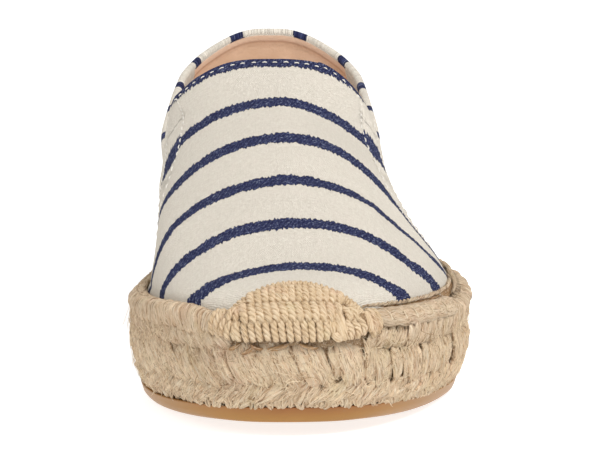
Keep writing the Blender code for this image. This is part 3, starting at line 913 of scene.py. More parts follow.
def section_arc(stations=120, half=120):
    """Arc length across the upper, from the ridge, by station and section coordinate."""
    s = np.linspace(*ARC_ENDS, stations)
    c = np.sin(np.linspace(-1, 1, 2 * half + 1) * np.pi / 2)
    run = run_along(last_point(s[:, None], c[None]))
    return (run - run[:, half : half + 1])[..., None]


ARC_ENDS = (RIM + 0.1, LENGTH - RIM - 0.1)
ARC = section_arc()


def across_arc(s, c):
    """Signed arc length from the ridge to points of the upper."""
    last_i, last_j = ARC.shape[0] - 1, ARC.shape[1] - 1
    i = (s - ARC_ENDS[0]) / (ARC_ENDS[1] - ARC_ENDS[0]) * last_i
    j = (np.arcsin(np.clip(c, -1, 1)) / np.pi + 0.5) * last_j
    return sample(ARC, np.clip(i, 0, last_i - 0.001), np.clip(j, 0, last_j - 0.001))[..., 0]


RIDGE_S = np.linspace(60, LENGTH - RIM, 1500)
RIDGE_RUN = run_along(last_point(RIDGE_S, 0 * RIDGE_S))
FIRST_STRIPE = float(np.interp(FIRST_STATION, RIDGE_S, RIDGE_RUN))


def drift(s, a):
    """How far towards the toe the cloth's cross threads have drifted at arc a."""
    columns = np.stack([smooth(STRIPE_DRIFT, k + 1, s) for k in range(len(DRIFT_ARC))], axis=-1)
    j = np.interp(a, DRIFT_ARC, np.arange(len(DRIFT_ARC)))
    low = np.clip(j.astype(int), 0, len(DRIFT_ARC) - 2)
    before, after = (np.take_along_axis(columns, (low + d)[..., None], -1)[..., 0] for d in (0, 1))
    return before + (after - before) * (j - low)


def stripe_coordinate(p, a):
    """Distance along the vamp's cloth from its first stripe, in millimetres. A stripe
    keeps its width however far its threads have drifted."""
    home = p[..., 0]
    for _ in range(8):
        slope = (drift(home + 1, a) - drift(home - 1, a)) / 2
        miss = home + drift(home, a) - p[..., 0]
        home = home - np.clip(miss / np.maximum(1 + slope, 0.3), -6, 6)
    f = np.interp(home, RIDGE_S, RIDGE_RUN) - FIRST_STRIPE
    middle = STRIPE_PITCH * np.round(f / STRIPE_PITCH)
    station = np.interp(middle + FIRST_STRIPE, RIDGE_RUN, RIDGE_S)
    slope = (drift(station + 1, a) - drift(station - 1, a)) / 2
    shear = (drift(station, a + 1) - drift(station, a - 1)) / 2
    stretch = np.clip((1 + slope) / np.sqrt(1 + shear**2), 0.6, 2.2) - 1
    off = f - middle
    return f + off * stretch * (1 - ease((np.abs(off) - 2.5) / 6))


def settle(s, c, target):
    """Section coordinates of the upper's points nearest to target."""
    e, k = 0.02, 0.002
    for _ in range(7):
        ds = (last_point(s + e, c) - last_point(s - e, c)) / (2 * e)
        dc = (last_point(s, c + k) - last_point(s, c - k)) / (2 * k)
        gap = target - last_point(s, c)
        aa, ab, bb = (ds * ds).sum(-1), (ds * dc).sum(-1), (dc * dc).sum(-1)
        ra, rb = (ds * gap).sum(-1), (dc * gap).sum(-1)
        det = np.maximum(aa * bb - ab * ab, 1e-9)
        s = s + np.clip((ra * bb - rb * ab) / det, -2, 2)
        c = np.clip(c + np.clip((aa * rb - ab * ra) / det, -0.06, 0.06), -0.9995, 0.9995)
    return s, c


def beside(s, c, distance):
    """Points of the upper at a distance below an edge given by s and c."""
    run = run_along(last_point(s, c))
    even = np.linspace(0, run[-1], len(s))
    s, c = np.interp(even, run, s), np.interp(even, run, c)
    steps = max(1, int(round(distance / 1.5)))
    window = 13
    for _ in range(steps):
        p = last_point(s, c)
        heading = np.pad(np.gradient(p, axis=0), ((window // 2,) * 2, (0, 0)), "edge")
        heading = np.column_stack([np.convolve(heading[:, k], np.ones(window) / window, "valid")
                                   for k in range(3)])
        across = unit(np.cross(last_normal(s, c), unit(heading)))
        if across[:, 2].mean() > 0:
            across = -across
        s, c = settle(s, c, p + across * distance / steps)
    return s, c


def lap_depth(s, z, side, row):
    """Height of a point over one of the two stitch rows of the vamp's lap."""
    medial, lateral = (smooth(LAP_ROWS[k][row], 1, s) for k in (-1, 1))
    return z - np.where(side < 0, medial, lateral)


def stitch_row(heap, s, c, pitch, length, out, radius):
    """Row of separate stitches along a line of the upper."""
    p, n = last_point(s, c), last_normal(s, c)
    run = run_along(p)
    t = np.linspace(-1, 1, 7)
    for start in np.arange(0.6, run[-1] - length, pitch):
        start += RNG.uniform(-0.15, 0.15)
        at = start + np.linspace(0, length, len(t))
        path, normal = (np.column_stack([np.interp(at, run, q[:, k]) for k in range(3)])
                        for q in (p, n))
        high = out + 0.16 + RNG.uniform(-0.12, 0.04)
        normal = unit(normal)
        heap.add_tube(path + normal * (high - 0.34 * t**2)[:, None], radius,
                      tint=RNG.uniform(0.5, 1), up=normal)


def shell(name, s, c, outer, inner, bends, material, cloth, wobble, seed):
    """Cloth shell over a grid of ribs: outside up, round the edge in so many bends, inside
    down. outer and inner are offsets along the normal; cloth(s, c, p) gives f and a."""
    p, n = last_point(s, c), last_normal(s, c)
    n[:, 0, 2] = 0
    n[:, 0] = unit(n[:, 0])
    sway = soft_wobble(p, wobble, 40.0, seed) * ease((p[..., 2] - sole_top(s)) / 8)
    run = run_along(p)
    depth = run[:, -1:] - run
    up = unit(p[:, -1] - p[:, -2])
    faces = [p + n * (offset + sway)[..., None] for offset in (outer, inner)]
    middle = (outer[:, -1] + inner[:, -1]) / 2 + sway[:, -1]
    half = (outer[:, -1] - inner[:, -1]) / 2
    arc = np.linspace(0, 1, bends + 2)[1:-1]
    bend = np.stack([
        p[:, -1] + n[:, -1] * (middle + half * math.cos(angle))[:, None]
        + up * (half * math.sin(angle))[:, None] for angle in np.pi * arc
    ], axis=1)
    grid = np.concatenate([faces[0], bend, faces[1][:, ::-1]], axis=1)
    rim = 1.2                           # what the bend counts for in depth
    data = [np.concatenate([q, np.repeat(q[:, -1:], bends, 1), q[:, ::-1]], axis=1)
            for q in cloth(s, c, p)]
    data.append(np.concatenate([depth, np.repeat(-rim * arc[None], len(p), 0),
                                -rim - depth[:, ::-1]], axis=1))
    return solid(name, grid.reshape(-1, 3), skin(len(p), grid.shape[1], flip=True), material,
                 "canvas", cloth=np.stack(data, axis=-1).reshape(-1, 3))


def build_vamp():
    """Vamp, from its lap over the medial quarter, round the toe, to the lateral one."""
    going, coming = (feet_between(side, 101.3, LENGTH - RIM - 0.01, 190)[0] for side in (-1, 1))
    s, c = both_sides(going, coming[-2::-1], VAMP_EDGE, 64)
    z = last_point(s, c)[..., 2]
    lapped = lap_depth(s, z, c, 1) + 1.6
    outer = LAYER * 0.5 - 0.1 + 0.35 * ease(lapped / 1.5 + 0.5)
    full = ease(np.maximum((s - 117) / 8, (z - 49) / 4))

    def cloth(s, c, p):
        a = across_arc(s, c)
        f = stripe_coordinate(p, a)
        # between the lap's two rows of stitches a stripe is wider
        between = ease(0.5 - lap_depth(s, z, c, 0) / 1.1) * ease(lapped / 1.1 - 0.5)
        between = between * ease((s - 122) / 6) * ease((z - 51) / 3)
        home = STRIPE_PITCH * np.round(f / STRIPE_PITCH)
        wider = home + 0.5 * (f - home) + np.where(c < 0, -0.6, 0.2)
        return f + between * (wider - f), a

    vamp = shell("vamp_canvas", s, c, outer, outer - 0.7 - 1.1 * full, 3,
                 canvas_material("canvas_vamp", False), cloth, 0.25, 5)
    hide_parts("upper")
    return s[:, -1], c[:, -1]


def build_quarters():
    """Quarters: one band round the heel, its front ends under the vamp."""
    (medial, m_run), (lateral, l_run) = (feet_between(side, RIM + 0.01, 117, 170)
                                         for side in (-1, 1))
    walked = np.concatenate([-m_run[::-1], l_run[1:]])
    s, c = both_sides(medial[::-1], lateral[1:], {-1: QUARTER_TOP, 1: QUARTER_TOP}, 44)

    def cloth(s, c, p):
        f = np.interp(walked, QUARTER_STRIPES, STRIPE_PITCH * np.arange(-6, 8))
        return np.repeat(f[:, None], s.shape[1], 1), p[..., 2]

    run = run_along(last_point(s, c))
    below = run[:, -1:] - run
    fold = 1 - ease((below - 2.4) / 1.1)
    far = np.abs(walked)
    gape = np.where(walked < 0, 1.2, 0.3) * ease((far - 30) / 30) * ease((112 - far) / 30)
    gape = gape[:, None] * (1 - ease(below / 20))
    outer = -LAYER + 0.25 * fold + gape
    inner = -LAYER - 1.9 - 0.55 * fold + gape
    # soft folds of the lining at the back of the heel
    for at, size, wide in ((4.0, 0.7, 3.0), (-9.0, 0.45, 5.0), (16.0, 0.4, 4.0)):
        inner -= size * np.exp(-(((walked[:, None] - at) / wide) ** 2)) * ease((below - 5) / 6)
    quarters = shell("quarters_canvas", s, c, outer, inner, 5,
                     canvas_material("canvas_quarters", True), cloth, 0.35, 9)
    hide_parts("upper")
    return s[:, -1], c[:, -1]


def build_upper():
    vamp_edge = build_vamp()
    quarter_edge = build_quarters()
    thread = Heap()
    s, c = beside(*(q[8:-8] for q in vamp_edge), 1.5)
    throat = last_point(s, c)[:, 2] > 73
    stitch_row(thread, s[throat], c[throat], 3.1, 1.6, 0.47, 0.19)
    for side in (-1, 1):
        for row in LAP_ROWS[side]:
            s = np.linspace(row[0][0], row[-1][0], 200)
            c = section_at(s, smooth(row, 1, s) - sole_top(s) - GAP, side)
            stitch_row(thread, s, c, 3.0, 2.1, 0.52, 0.18)
    stitch_row(thread, *beside(*(q[6:-6] for q in quarter_edge), 2.4), 3.0, 2.1, -LAYER + 0.3, 0.22)
    thread.build("topstitching", thread_material(), "canvas")


# ---- Jute ----

def around(pitch, jitter, rng):
    """Distances along the whole outline, pitch apart, slightly uneven."""
    count = int(round(ROUND / pitch))
    u = -MEDIAL_RUN + (np.arange(count) + rng.uniform(-jitter, jitter, count)) * ROUND / count
    return np.sort(u)


def on_roll(u):
    return ease((u - SMOOTH_ROLL[0] + 3) / 3) * ease((SMOOTH_ROLL[1] + 6 - u) / 6)


def wall_cord(heap, u, v, out, radius, flat=0.75, **how):
    """A cord over the wall through (u, v), standing off by out."""
    heap.add_tube(jute(u, v, out - sink(u, v)), radius, flat=flat, up=wall_normal(u, v), **how)


def build_jute_core(material):
    """Watertight fibrous core under the strands: the platform itself."""
    phi, side = ring_order(330)
    u = ring_u(phi, side) * side
    s, x = on_outline(phi, side, SOLE_WALL[1][1] + 2.2)
    rings = [np.column_stack([s, x, sole_bottom(s) + RUBBER + GAP])]
    for share in np.concatenate([np.linspace(1, 0.12, 34), np.linspace(0.1, 0.0, 6)]):
        v = drop(u) * share
        rough = soft_wobble(jute(u, v), 0.5, 3.2, 21) + soft_wobble(jute(u, v), 0.35, 1.6, 22)
        deep = 1.7 - 1.35 * ease((share - 0.9) / 0.06) - 0.8 * ease((0.38 - share) / 0.08)
        rings.append(jute(u, v, rough - deep - sink(u, v)))
    rings += [jute(u, v, -0.9 - sink(u, v)) for v in (-0.9, -1.8, -2.5)]
    s, x = on_outline(phi, side, RIM)
    rings.append(np.column_stack([s, x, sole_top(s) - 0.1]))
    yarn = [np.column_stack(np.broadcast_arrays(u * 6 + 3 * k, 0.8 * k, 0.3))
            for k in range(len(rings))]
    core = stacked("jute_core", rings, material, "jute", yarn=np.concatenate(yarn))
    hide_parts("midsole")


def build_strands(material):
    """The main course of slanting strands, the lower one and the frayed ends."""
    rng = np.random.default_rng(7)
    main = Heap()
    for u in around(4.5, 0.26, rng):
        d = float(drop(u))
        lean = float(np.interp(u, SLANT_AT, SLANT)) + rng.normal(0, 1.0)
        near_patch = ease((PATCH_HALF_WIDTH + 6 - abs(u - 2)) / 6)
        top = (MAIN_TOP - 0.085 * near_patch) * d + rng.uniform(-0.9, 0.2)
        foot = MAIN_FOOT * d + rng.uniform(-0.4, 1.2)
        leaf(main, rng, (u - lean / 2, top), (u + lean / 2, foot), (2.3, 3.4), (0.9, 1.6),
             (-1.35, -0.95), (-1.3, 0.6), (0.15, 0.95), (0.1, 1), tuck=(1.0, 0.9), blunt=3.4)
        # thinner bundles that have come away from the strand
        for _ in range(rng.integers(1, 3)):
            shift, lead = rng.uniform(-2.6, 2.6), lean + rng.normal(0, 1.3)
            a, b = sorted(rng.uniform(-0.05, 1.05, 2))
            if b - a < 0.45:
                continue
            run, start = np.array([lead, foot - top]), np.array([u - lead / 2 + shift, top])
            leaf(main, rng, start + a * run, start + b * run, (0.45, 0.95), (0.5, 0.9),
                 (-0.5, -0.05), (-0.9, 0.9), (-0.2, 0.2), (0.2, 1), along=14, upper=8)
    # one more where the slant changes and the strands part
    leaf(main, np.random.default_rng(8), (9.8, 8.4), (12.7, 17.4), 1.7, 1.0, -1.1, -0.4, 0.3,
         0.8, blunt=3.4)
    main.build("jute_strands_main", material, "jute")
    low = Heap()
    for u in around(3.1, 0.3, rng):
        d = float(drop(u))
        lean = rng.uniform(5.0, 9.0)
        leaf(low, rng, (u + lean / 2, (MAIN_FOOT - 0.05) * d),
             (u - lean / 2, d + rng.uniform(0.4, 1.0)), (1.4, 2.1), (0.8, 1.3), (-1.05, -0.65),
             (-0.3, 0.5), (-0.3, 0.3), (0.1, 1), tuck=(0.9, 0.15), along=14, upper=10)
        if rng.random() < 0.75:
            lean += rng.normal(0, 2.5)
            at = u + rng.uniform(-2, 2)
            leaf(low, rng, (at + lean / 2, (MAIN_FOOT + 0.01) * d),
                 (at - lean / 2, d + rng.uniform(-1.0, 0.7)), (0.45, 0.85), (0.5, 0.8),
                 (-0.3, 0.1), (-0.6, 0.6), 0.0, (0.3, 1), tuck=(0.8, 0.5), along=12, upper=7,
                 lower=3)
    low.build("jute_strands_lower", material, "jute")
    # frayed ends that lap over the rubber
    fringe = Heap()
    for u in around(1.35, 0.45, rng):
        d, lean = float(drop(u)), rng.normal(0, 1.8)
        leaf(fringe, rng, (u + lean / 2, d - rng.uniform(1.6, 3.0)),
             (u - lean / 2, d + rng.uniform(0.5, 1.2)), (0.5, 0.9), (0.35, 0.6), (-0.25, 0.1),
             (-0.4, 0.4), 0.0, (0.3, 1), tuck=(0.7, 0.0), along=8, upper=6, lower=3)
    fringe.build("jute_fringe", material, "jute")


def against_canvas(u, rise):
    """Points and normals of the canvas above the outline's point u, rise over the platform."""
    side = np.where(u < 0, -1, 1)
    s, _ = on_outline(fraction_at(u), side, RIM)
    c = section_at(s, rise, side)
    return last_point(s, c), last_normal(s, c)


def build_stitched_rim(material, rng):
    """Stitches over the jute's edge, a cord along the crest and one against the canvas."""
    rim, pitch = Heap(), 3.9
    for u in around(pitch, 0.1, rng):
        if abs(u - PATCH_SHIFT) < PATCH_HALF_WIDTH - 1 or on_roll(u) > 0.3:
            continue
        foot = MAIN_TOP * float(drop(u))
        tilt = rng.uniform(-0.9, 0.9)
        leaf(rim, rng, (u - tilt, -2.6), (u + tilt, rng.uniform(5.6, 6.8)), (2.0, 2.5),
             (0.9, 1.3), (0.0, 0.35), (-0.4, 0.4), (0.0, 0.3), (0.2, 1), tuck=(0.6, 0.9),
             along=21, blunt=5)
        leaf(rim, rng, (u - 2.6, 0.46 * foot), (u + 2.4, foot + 0.5), 2.4, 1.0, (-0.95, -0.6),
             (-0.4, 0.4), (-0.3, 0.3), (0.3, 1), tuck=(0.5, 0.9), along=12, upper=10)
    u = np.arange(-MEDIAL_RUN, LATERAL_RUN, CORD_STEP)
    stitched = (on_roll(u) < 0.5) & (np.abs(u - PATCH_SHIFT) > PATCH_HALF_WIDTH - 0.5)
    turns = np.flatnonzero(np.diff(stitched.astype(int))) + 1
    for run, keep in zip(np.split(u, turns), np.split(stitched, turns)):
        if not keep[0] or len(run) < 4:
            continue
        wave, lift = np.sin(run * 2 * np.pi / pitch), np.cos(run * 2 * np.pi / pitch)
        wall_cord(rim, run, -1.6 + 0.4 * wave, 0.95 + 0.25 * lift, 1.15, flat=0.9, sides=10,
                  tint=0.8, plies=3, ply_depth=0.22, twist=0.9)
        path, up = against_canvas(run, 0.7 + 0.3 * wave)
        rim.add_tube(path + up * 1.1, 1.0, 8, tint=0.7, flat=0.85, up=up, plies=3,
                     ply_depth=0.2, twist=0.8)
    rim.build("jute_rim", material, "jute")


CORD_STEP = 0.65


def build_plain_roll(material, thread, brown, rng):
    """The plain roll of the lateral side, with its binding and stitches."""
    roll, binding = Heap(), Heap()
    run = np.arange(PATCH_HALF_WIDTH - 0.5, SMOOTH_ROLL[1] + 16, CORD_STEP)
    tail = ease((run - SMOOTH_ROLL[1] + 6) / 16)
    wall_cord(roll, run, 1.7 + 0.1 * np.sin(run),
              soft_wobble(jute(run, 1.2), 0.3, 9.0, 31) + 0.1 - 1.2 * tail, 3.0 - 1.3 * tail,
              flat=0.5, sides=24, tint=0.55)
    for u in np.arange(SMOOTH_ROLL[0] + 2, SMOOTH_ROLL[1], 3.3):
        leaf(roll, rng, (u + 2.1, 3.5), (u - 1.4, MAIN_TOP * float(drop(u)) + 0.9), (1.4, 1.9),
             (0.8, 1.1), -0.45, (-0.3, 0.3), 0.2, (0.2, 1), tuck=(0.7, 0.9), along=14, upper=12)
    # strands that lap over the roll's further half
    rows = 18
    for u in np.arange(36.0, SMOOTH_ROLL[1] + 4, 3.4):
        u += rng.uniform(-0.5, 0.5)
        head = rng.uniform(-0.8, 1.6) + 2.4 * (1 - float(ease((u - 36) / 10)))
        end = (u + rng.uniform(0.2, 1.4), MAIN_TOP * float(drop(u)) + rng.uniform(0.4, 1.4))
        leaf(roll, rng, (u - 0.4, head), end, (1.2, 1.9), (0.6, 0.9),
             np.linspace(1.35, -0.8, rows)[:, None], (-0.5, 0.5), (0.0, 0.25), (0.3, 1),
             tuck=(0.7, 0.9), along=rows, upper=12)
    # brown ends that show under the crochet
    for start, end, wide in (((-13.6, 10.4), (-9.2, 7.7), 0.55), ((-6.8, 9.0), (-0.8, 7.3), 0.6),
                             ((-17.2, 9.3), (-13.6, 7.4), 0.5), ((1.5, 7.4), (6.6, 8.6), 0.5),
                             ((-11.0, 7.6), (-7.4, 8.9), 0.45)):
        leaf(binding, rng, start, end, wide, 0.6, -0.1, 0.3, tint=0.9, tuck=(0.5, 0.5), along=14,
             upper=8)
    # binding that holds the canvas behind the roll, a pale cord along its top
    u = np.arange(PATCH_HALF_WIDTH + 0.5, SMOOTH_ROLL[1] + 24, 0.6)
    tall = 2.7 - 1.2 * ease((PATCH_HALF_WIDTH + 3.5 - u) / 3)
    for share in (0.1, 0.35, 0.6, 0.82):
        path, up = against_canvas(u, share * tall)
        binding.add_tube(path + up * 0.1, 0.6, 8, tint=rng.random(), flat=0.6, up=up)
    path, up = against_canvas(u, tall + soft_wobble(path, 0.25, 5.0, 33))
    twist_cord(roll, path + up * 0.45, up, 0.62, turn=1.6, tint=1.0, plies=2)
    roll.build("jute_roll", material, "jute")
    binding.build("jute_binding", brown, "jute")
    stitches = Heap()
    for u in np.arange(SMOOTH_ROLL[0] + 3, SMOOTH_ROLL[1], 4.9):
        u += rng.uniform(-0.8, 0.8)
        path = spline([(u - 1.4, -2.7, 0.4), (u - 0.8, -0.9, 1.25), (u, 1.3, 1.68),
                       (u + 0.8, 3.2, 1.35), (u + 1.3, 4.7, 0.4)], 18)
        wall_cord(stitches, *path.T, 0.17, flat=1.0, tint=1.0)
    stitches.build("jute_rim_stitches", thread, "jute")


def build_fuzz(material):
    """Loose fibres lying over the jute, and a few that stand off it."""
    rng = np.random.default_rng(19)
    fuzz = Heap()
    for k in range(2500):
        u = rng.uniform(-80, 85) if k % 2 else rng.uniform(-MEDIAL_RUN, LATERAL_RUN)
        d = float(drop(u))
        share = rng.uniform(0.02, 1.0)
        if abs(u - PATCH_SHIFT) < PATCH_HALF_WIDTH + 1 and share * d < 9:
            continue
        if MAIN_TOP < share < MAIN_FOOT:
            lean = 0.8 * float(np.interp(u, SLANT_AT, SLANT))
        else:
            lean = rng.choice((-5, 3))
        length = rng.uniform(1.5, 5.5)
        stray = 2.2 if share < MAIN_TOP else 0.9
        angle = math.atan2(10.5, lean) + rng.normal(0, stray)
        bend = rng.normal(0, 1.5 + stray, 2)
        t = np.linspace(-0.5, 0.5, 6)
        stand = rng.uniform(0.3, 0.8)
        if rng.random() < 0.13:
            stand = stand + rng.uniform(0.3, 2.2) * (t + 0.5) ** 2
        uu = u + t * length * math.cos(angle) + bend[0] * t**2 * 2
        vv = share * d + t * length * math.sin(angle) + bend[1] * t**2 * 2
        vv = np.clip(vv, -2.2, d + 0.4)
        tucked = 0.9 * np.abs(2 * t) ** 2 * (rng.random() < 0.6)
        fuzz.add_tube(jute(uu, vv, stand - sink(uu, vv) - tucked), rng.uniform(0.03, 0.075), 4,
                      tint=rng.random() ** 0.6)
    fuzz.build("jute_loose_fibres", material, "jute")


# ---- Crocheted toe patch ----

def patch_cord(heap, rng, ends, radius, bulge=0.4, low=0.2, count=20, blunt=5.0):
    """Cord over the patch through (a, b) points, its ends dipping to low."""
    a, b = spline(ends, count).T
    out = low + radius * 0.6 + bulge * np.sin(np.pi * np.linspace(0, 1, count)) ** 0.6
    points = patch(a, b, out)
    normal = unit(patch(a, b, out + 0.5) - points)
    twist_cord(heap, points, normal, radius, tint=rng.uniform(0.4, 1), blunt=blunt)


def row_level(a, level):
    """Height of a crochet row at a: the rows droop towards the patch's sides."""
    return float(level * (0.66 + 0.34 * np.sqrt(np.clip(1 - (a / 20.5) ** 2, 0, 1))))


def build_crochet_rows(yarn, rng):
    """Three rows of stitches. LEAN tables hold a place and how far a stitch leans there."""

    def stitch(a, b0, b1, leans, radius, blunt, middle=None):
        lean = 0.5 * float(np.interp(a, *leans))
        middle = (b0 + b1) / 2 if middle is None else middle
        patch_cord(yarn, rng, [(a - lean, b0), (a, middle), (a + lean, b1)], radius, blunt=blunt)

    for a in np.arange(-14.6, 8.2, 1.82):
        a += rng.uniform(-0.12, 0.12)
        stitch(a, rng.uniform(0.1, 0.9), row_level(a, 5.5), ((-14, 2, 8), (-1.3, -0.7, 0.0)),
               0.98, 3.0, middle=2.6)
    for a in np.arange(-13.8, 11.5, 2.05):
        b0, b1 = row_level(a, 5.0), row_level(a, 10.4)
        a += rng.uniform(-0.1, 0.1)
        stitch(a, b0 - 0.2, b1 + 0.2, ((-14, -6, 2, 6, 11), (-3.0, -2.2, -0.9, 0.0, 2.0)), 1.3, 2.6)
    for a in np.arange(-13.4, 13.4, 2.05):
        b0, b1 = row_level(a, 10.2), min(row_level(a, 16.6), float(patch_reach(a)) - 2.6)
        a += rng.uniform(-0.1, 0.1)
        stitch(a, b0, b1, ((-13, -4, 2, 6, 12), (-2.6, -1.0, 0.1, 0.5, 2.4)), 1.25, 3.0)


def build_crochet_sides(yarn, rng):
    """Cords at the half moon's sides, those tied into the jute and the loops of its edge."""
    for side, start in ((-1, 15.3), (1, 13.2)):
        for more, b, length in ((0, 0.6, 4.4), (1.9, 0.8, 4.2), (0, 4.6, 4.2), (2.0, 4.8, 3.8),
                                (3.6, 1.6, 3.8)):
            a = start + more
            patch_cord(yarn, rng, [(side * a, b), (side * (a + 0.3), b + length / 2),
                                   (side * (a - 0.9), b + length)], 1.0)
    for side in (1, -1):
        for k in range(2):
            u = side * (PATCH_HALF_WIDTH + 0.9 + 1.5 * k) + PATCH_SHIFT
            u, v, out = spline([(u - 0.6 * side, -1.6 + 0.5 * k, 0.6), (u, 1.2, 1.3),
                                (u + 0.5 * side, 3.4, 1.2), (u + 0.2 * side, 6.6 - 0.9 * k, 0.3)],
                               20).T
            twist_cord(yarn, jute(u, v, out), wall_normal(u, v), 1.0, tint=rng.uniform(0.4, 1))
    # broad flat strands that tie off the bottom row
    for start, end, wide in (((10.4, -1.2), (13.4, 6.9), 1.5), ((9.4, 4.4), (12.4, 6.7), 1.0),
                             ((13.6, 2.6), (16.0, -1.4), 1.0), ((9.3, -0.6), (10.0, 5.6), 0.85),
                             ((19.6, 0.2), (20.6, 5.2), 0.9)):
        leaf(yarn, rng, start, end, wide, 0.95, 1.35, 0.3, tint=(0.6, 1), tuck=(0.5, 0.7))
    for angle in np.linspace(0.03, 0.97, 28) * np.pi:
        ca, cb = -math.cos(angle), math.sin(angle)
        inner, outer, skewed = 0.85 - 0.05 * abs(ca), 0.975, angle + 0.06
        p0 = (PATCH_HALF_WIDTH * inner * ca, PATCH_STRAIGHT * inner + MOON_CROWN * inner * cb)
        p1 = (-PATCH_HALF_WIDTH * outer * math.cos(skewed),
              PATCH_STRAIGHT - 0.4 + MOON_CROWN * outer * math.sin(skewed))
        middle = ((p0[0] + p1[0]) / 2, (p0[1] + p1[1]) / 2)
        patch_cord(yarn, rng, [p0, middle, p1], 0.82, bulge=0.45, low=0.0, count=12, blunt=3.0)


def build_crochet_backing(material):
    """Thin sheet that closes the gaps between the cords."""
    columns, rows = 81, 40
    a = np.linspace(-1, 1, columns) * (PATCH_HALF_WIDTH - 0.9)
    reach = patch_reach(a * PATCH_HALF_WIDTH / (PATCH_HALF_WIDTH - 0.85)) - 1.3
    b = np.linspace(0.3, 1, rows)[None] * reach[:, None]
    points = np.concatenate([patch(a[:, None], b, out).reshape(-1, 3) for out in (1.0, 0.05)])
    size = columns * rows
    number = np.arange(size).reshape(columns, rows)
    border = np.concatenate([number[:, 0], number[-1, 1:], number[-2::-1, -1], number[0, -2:0:-1]])
    after = np.roll(border, -1)
    faces = [grid_faces(columns, rows), grid_faces(columns, rows, flip=True, start=size),
             np.stack([border, border + size, after + size, after], axis=1)]
    yarn = np.column_stack([points[:, 0] * 3, points[:, 1] * 2, np.full(len(points), 0.2)])
    backing = solid("crochet_backing", points, np.concatenate(faces), material, "jute_yarn",
                    yarn=yarn)
    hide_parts("toe_cap")


# ---- Rubber and footbed ----

def build_outsole():
    phi, side = ring_order(260)
    u = ring_u(phi, side)
    corner = ease((u - 10) / 25) * ease((100 - u) / 30)

    def ring(inset, height, lift=0.0):
        s, x = on_outline(phi, side, inset)
        return np.column_stack([s, x, sole_bottom(s) + height + lift * corner])

    rings = []
    for inset in np.linspace(29, 7.0, 30):
        s, x = on_outline(phi, side, inset)
        groove = 0.5 + 0.5 * np.cos(2 * np.pi * (s + 2.2 * np.sin(x * 2 * np.pi / 9)) / 6.5)
        rings.append(ring(inset, 0.9 * ease((0.42 - groove) / 0.2) * ease((inset - 8.5) / 2.5)))
    rings += [ring(*row) for row in (
        (6.4, 0.0, 0.15), (5.6, 0.0, 0.45), (5.2, 0.06, 0.6), (4.9, 0.25, 0.65), (4.6, 0.6, 0.6),
        (4.35, 1.2, 0.4))]
    rings += [ring(float(smooth(SOLE_WALL, 1, h)), h) for h in (1.9, 2.6, 3.2, 3.6, 3.85)]
    rings += [ring(SOLE_WALL[1][1] + 0.35, RUBBER), ring(6.0, RUBBER)]
    sole = stacked("rubber_outsole", rings, rubber_material(), "gum_rubber")
    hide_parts("outsole")


def build_footbed():
    phi, side = ring_order(200)
    base = RIM + 2.0 + GAP + 0.35
    # inset, height over the platform, share of the footbed's thickness
    profile = (
        (1.5, 0.05, 0), (0.5, 0.05, 0), (0.15, 0.4, 0), (0.0, 0.8, 0), (0.8, 1.3, 0.12),
        (2.2, 0.9, 0.55), (3.6, 0.3, 0.85), (5.2, 0, 1.0), (6.4, 0, 1.02), (8.5, -0.15, 1.0),
        (11, -0.6, 1.0), (14, -0.85, 1.0), (18, -0.95, 1.0), (22, -1.0, 1.0), (26, -1.0, 1.0),
    )
    rings = []
    for inset, up, share in profile:
        s, x = on_outline(phi, side, min(base + inset, 30.5))
        thick = 4.0 - 1.6 * np.clip((s - 195) / 50, 0, 1)
        rings.append(np.column_stack([s, x, sole_top(s) + GAP + up + share * thick]))
    bed = stacked("footbed", rings, footbed_material(), "lining")
    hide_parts("insole")


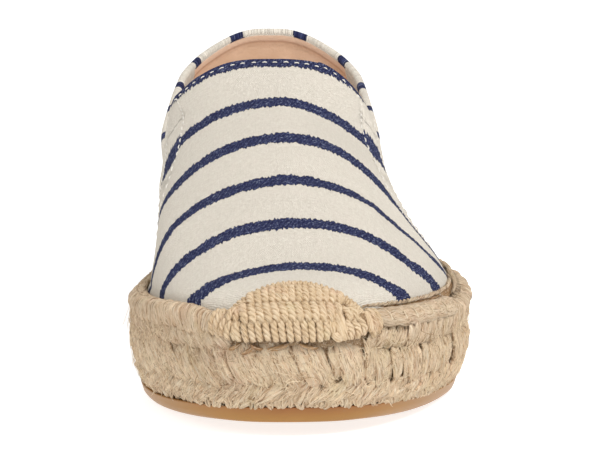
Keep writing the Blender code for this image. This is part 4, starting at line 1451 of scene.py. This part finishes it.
def build_all():
    build_upper()
    # the core's jute is darker than the strands': partly darker inner fibres, partly painted shade
    # in the gaps between the strands and in the groove under the roll
    build_jute_core(jute_material("jute_core", (0.50, 0.34, 0.20), (0.42, 0.27, 0.15),
                                  (0.2, 0.11, 0.05)))
    build_strands(jute_material("jute_strands", JUTE_PALE, JUTE_MID, JUTE_DARK))
    # a darker copy of the strands' jute for the stitched rim and the plain roll, whose tops face
    # the key light: painted shade
    edge = jute_material("jute_edge", (0.71, 0.555, 0.385), (0.60, 0.43, 0.28), JUTE_DARK,
                         (0.82, 0.69, 0.52))
    rng = np.random.default_rng(11)
    build_stitched_rim(edge, rng)
    # the binding's brown is partly darker fibres, partly painted shade of the groove between the
    # canvas and the roll
    build_plain_roll(edge, jute_material("jute_thread", (0.84, 0.72, 0.52), JUTE_PALE, JUTE_MID),
                     jute_material("jute_binding", (0.50, 0.31, 0.16), (0.40, 0.225, 0.10),
                                   JUTE_DARK), rng)
    build_fuzz(fibre_material())
    rng, yarn = np.random.default_rng(3), Heap()
    build_crochet_rows(yarn, rng)
    build_crochet_sides(yarn, rng)
    yarn.build("crochet_cords", jute_material("crochet_yarn", YARN_PALE, (0.61, 0.45, 0.275),
                                              YARN_DARK, (0.77, 0.635, 0.455), 0.6), "jute_yarn")
    build_crochet_backing(jute_material("crochet_shadow", (0.55, 0.37, 0.21), YARN_DARK,
                                        (0.25, 0.14, 0.06)))
    build_outsole()
    build_footbed()


# ---- Stage, light and camera ----

def area(name, place_at, size, power):
    """A soft round light aimed at the shoe."""
    data = bpy.data.lights.new(name, "AREA")
    data.shape, data.size, data.energy = "DISK", size, power
    ob = link(name, data)
    ob.location = place_at
    aim = Vector(np.subtract((0, 0, 0.03), place_at))
    ob.rotation_euler = aim.to_track_quat("-Z", "Y").to_euler()


def stage():
    """A pale floor that gives off some light, two lights and a pale world."""
    mesh = bpy.data.meshes.new("floor")
    r = 6.0
    mesh.from_pydata([(-r, -r, 0), (r, -r, 0), (r, r, 0), (-r, r, 0)], [], [(0, 1, 2, 3)])
    g = Graph("floor_paint")
    colour = g.mix(g.noise(None, 3.0, 2.0), (0.50, 0.50, 0.50), (0.53, 0.53, 0.52))
    mesh.materials.append(g.finished(colour, Roughness=0.9, Emission_Color=(1.0, 1.0, 1.0),
                                     Emission_Strength=0.78))
    floor = link("floor", mesh)
    world = bpy.data.worlds.new("soft_studio")
    world.use_nodes = True
    background = world.node_tree.nodes["Background"]
    background.inputs["Color"].default_value = (1.0, 1.0, 1.0, 1.0)
    background.inputs["Strength"].default_value = 0.62
    bpy.context.scene.world = world
    area("key", (0.55, -0.70, 1.20), 0.7, 15.0)
    area("fill", (-0.9, -0.7, 0.7), 0.9, 2.5)
    bpy.context.scene.view_settings.view_transform = "Standard"


def camera():
    data = bpy.data.cameras.new("camera")
    data.lens, data.sensor_width, data.clip_start = 164.116, 36.0, 0.05
    ob = link("camera", data)
    ob.location = (-0.02547, -0.79513, 0.14553)
    ob.rotation_euler = Euler((math.radians(90 - 7.709), 0, math.radians(-1.961)))
    bpy.context.scene.camera = ob


build_all()
stage()
camera()
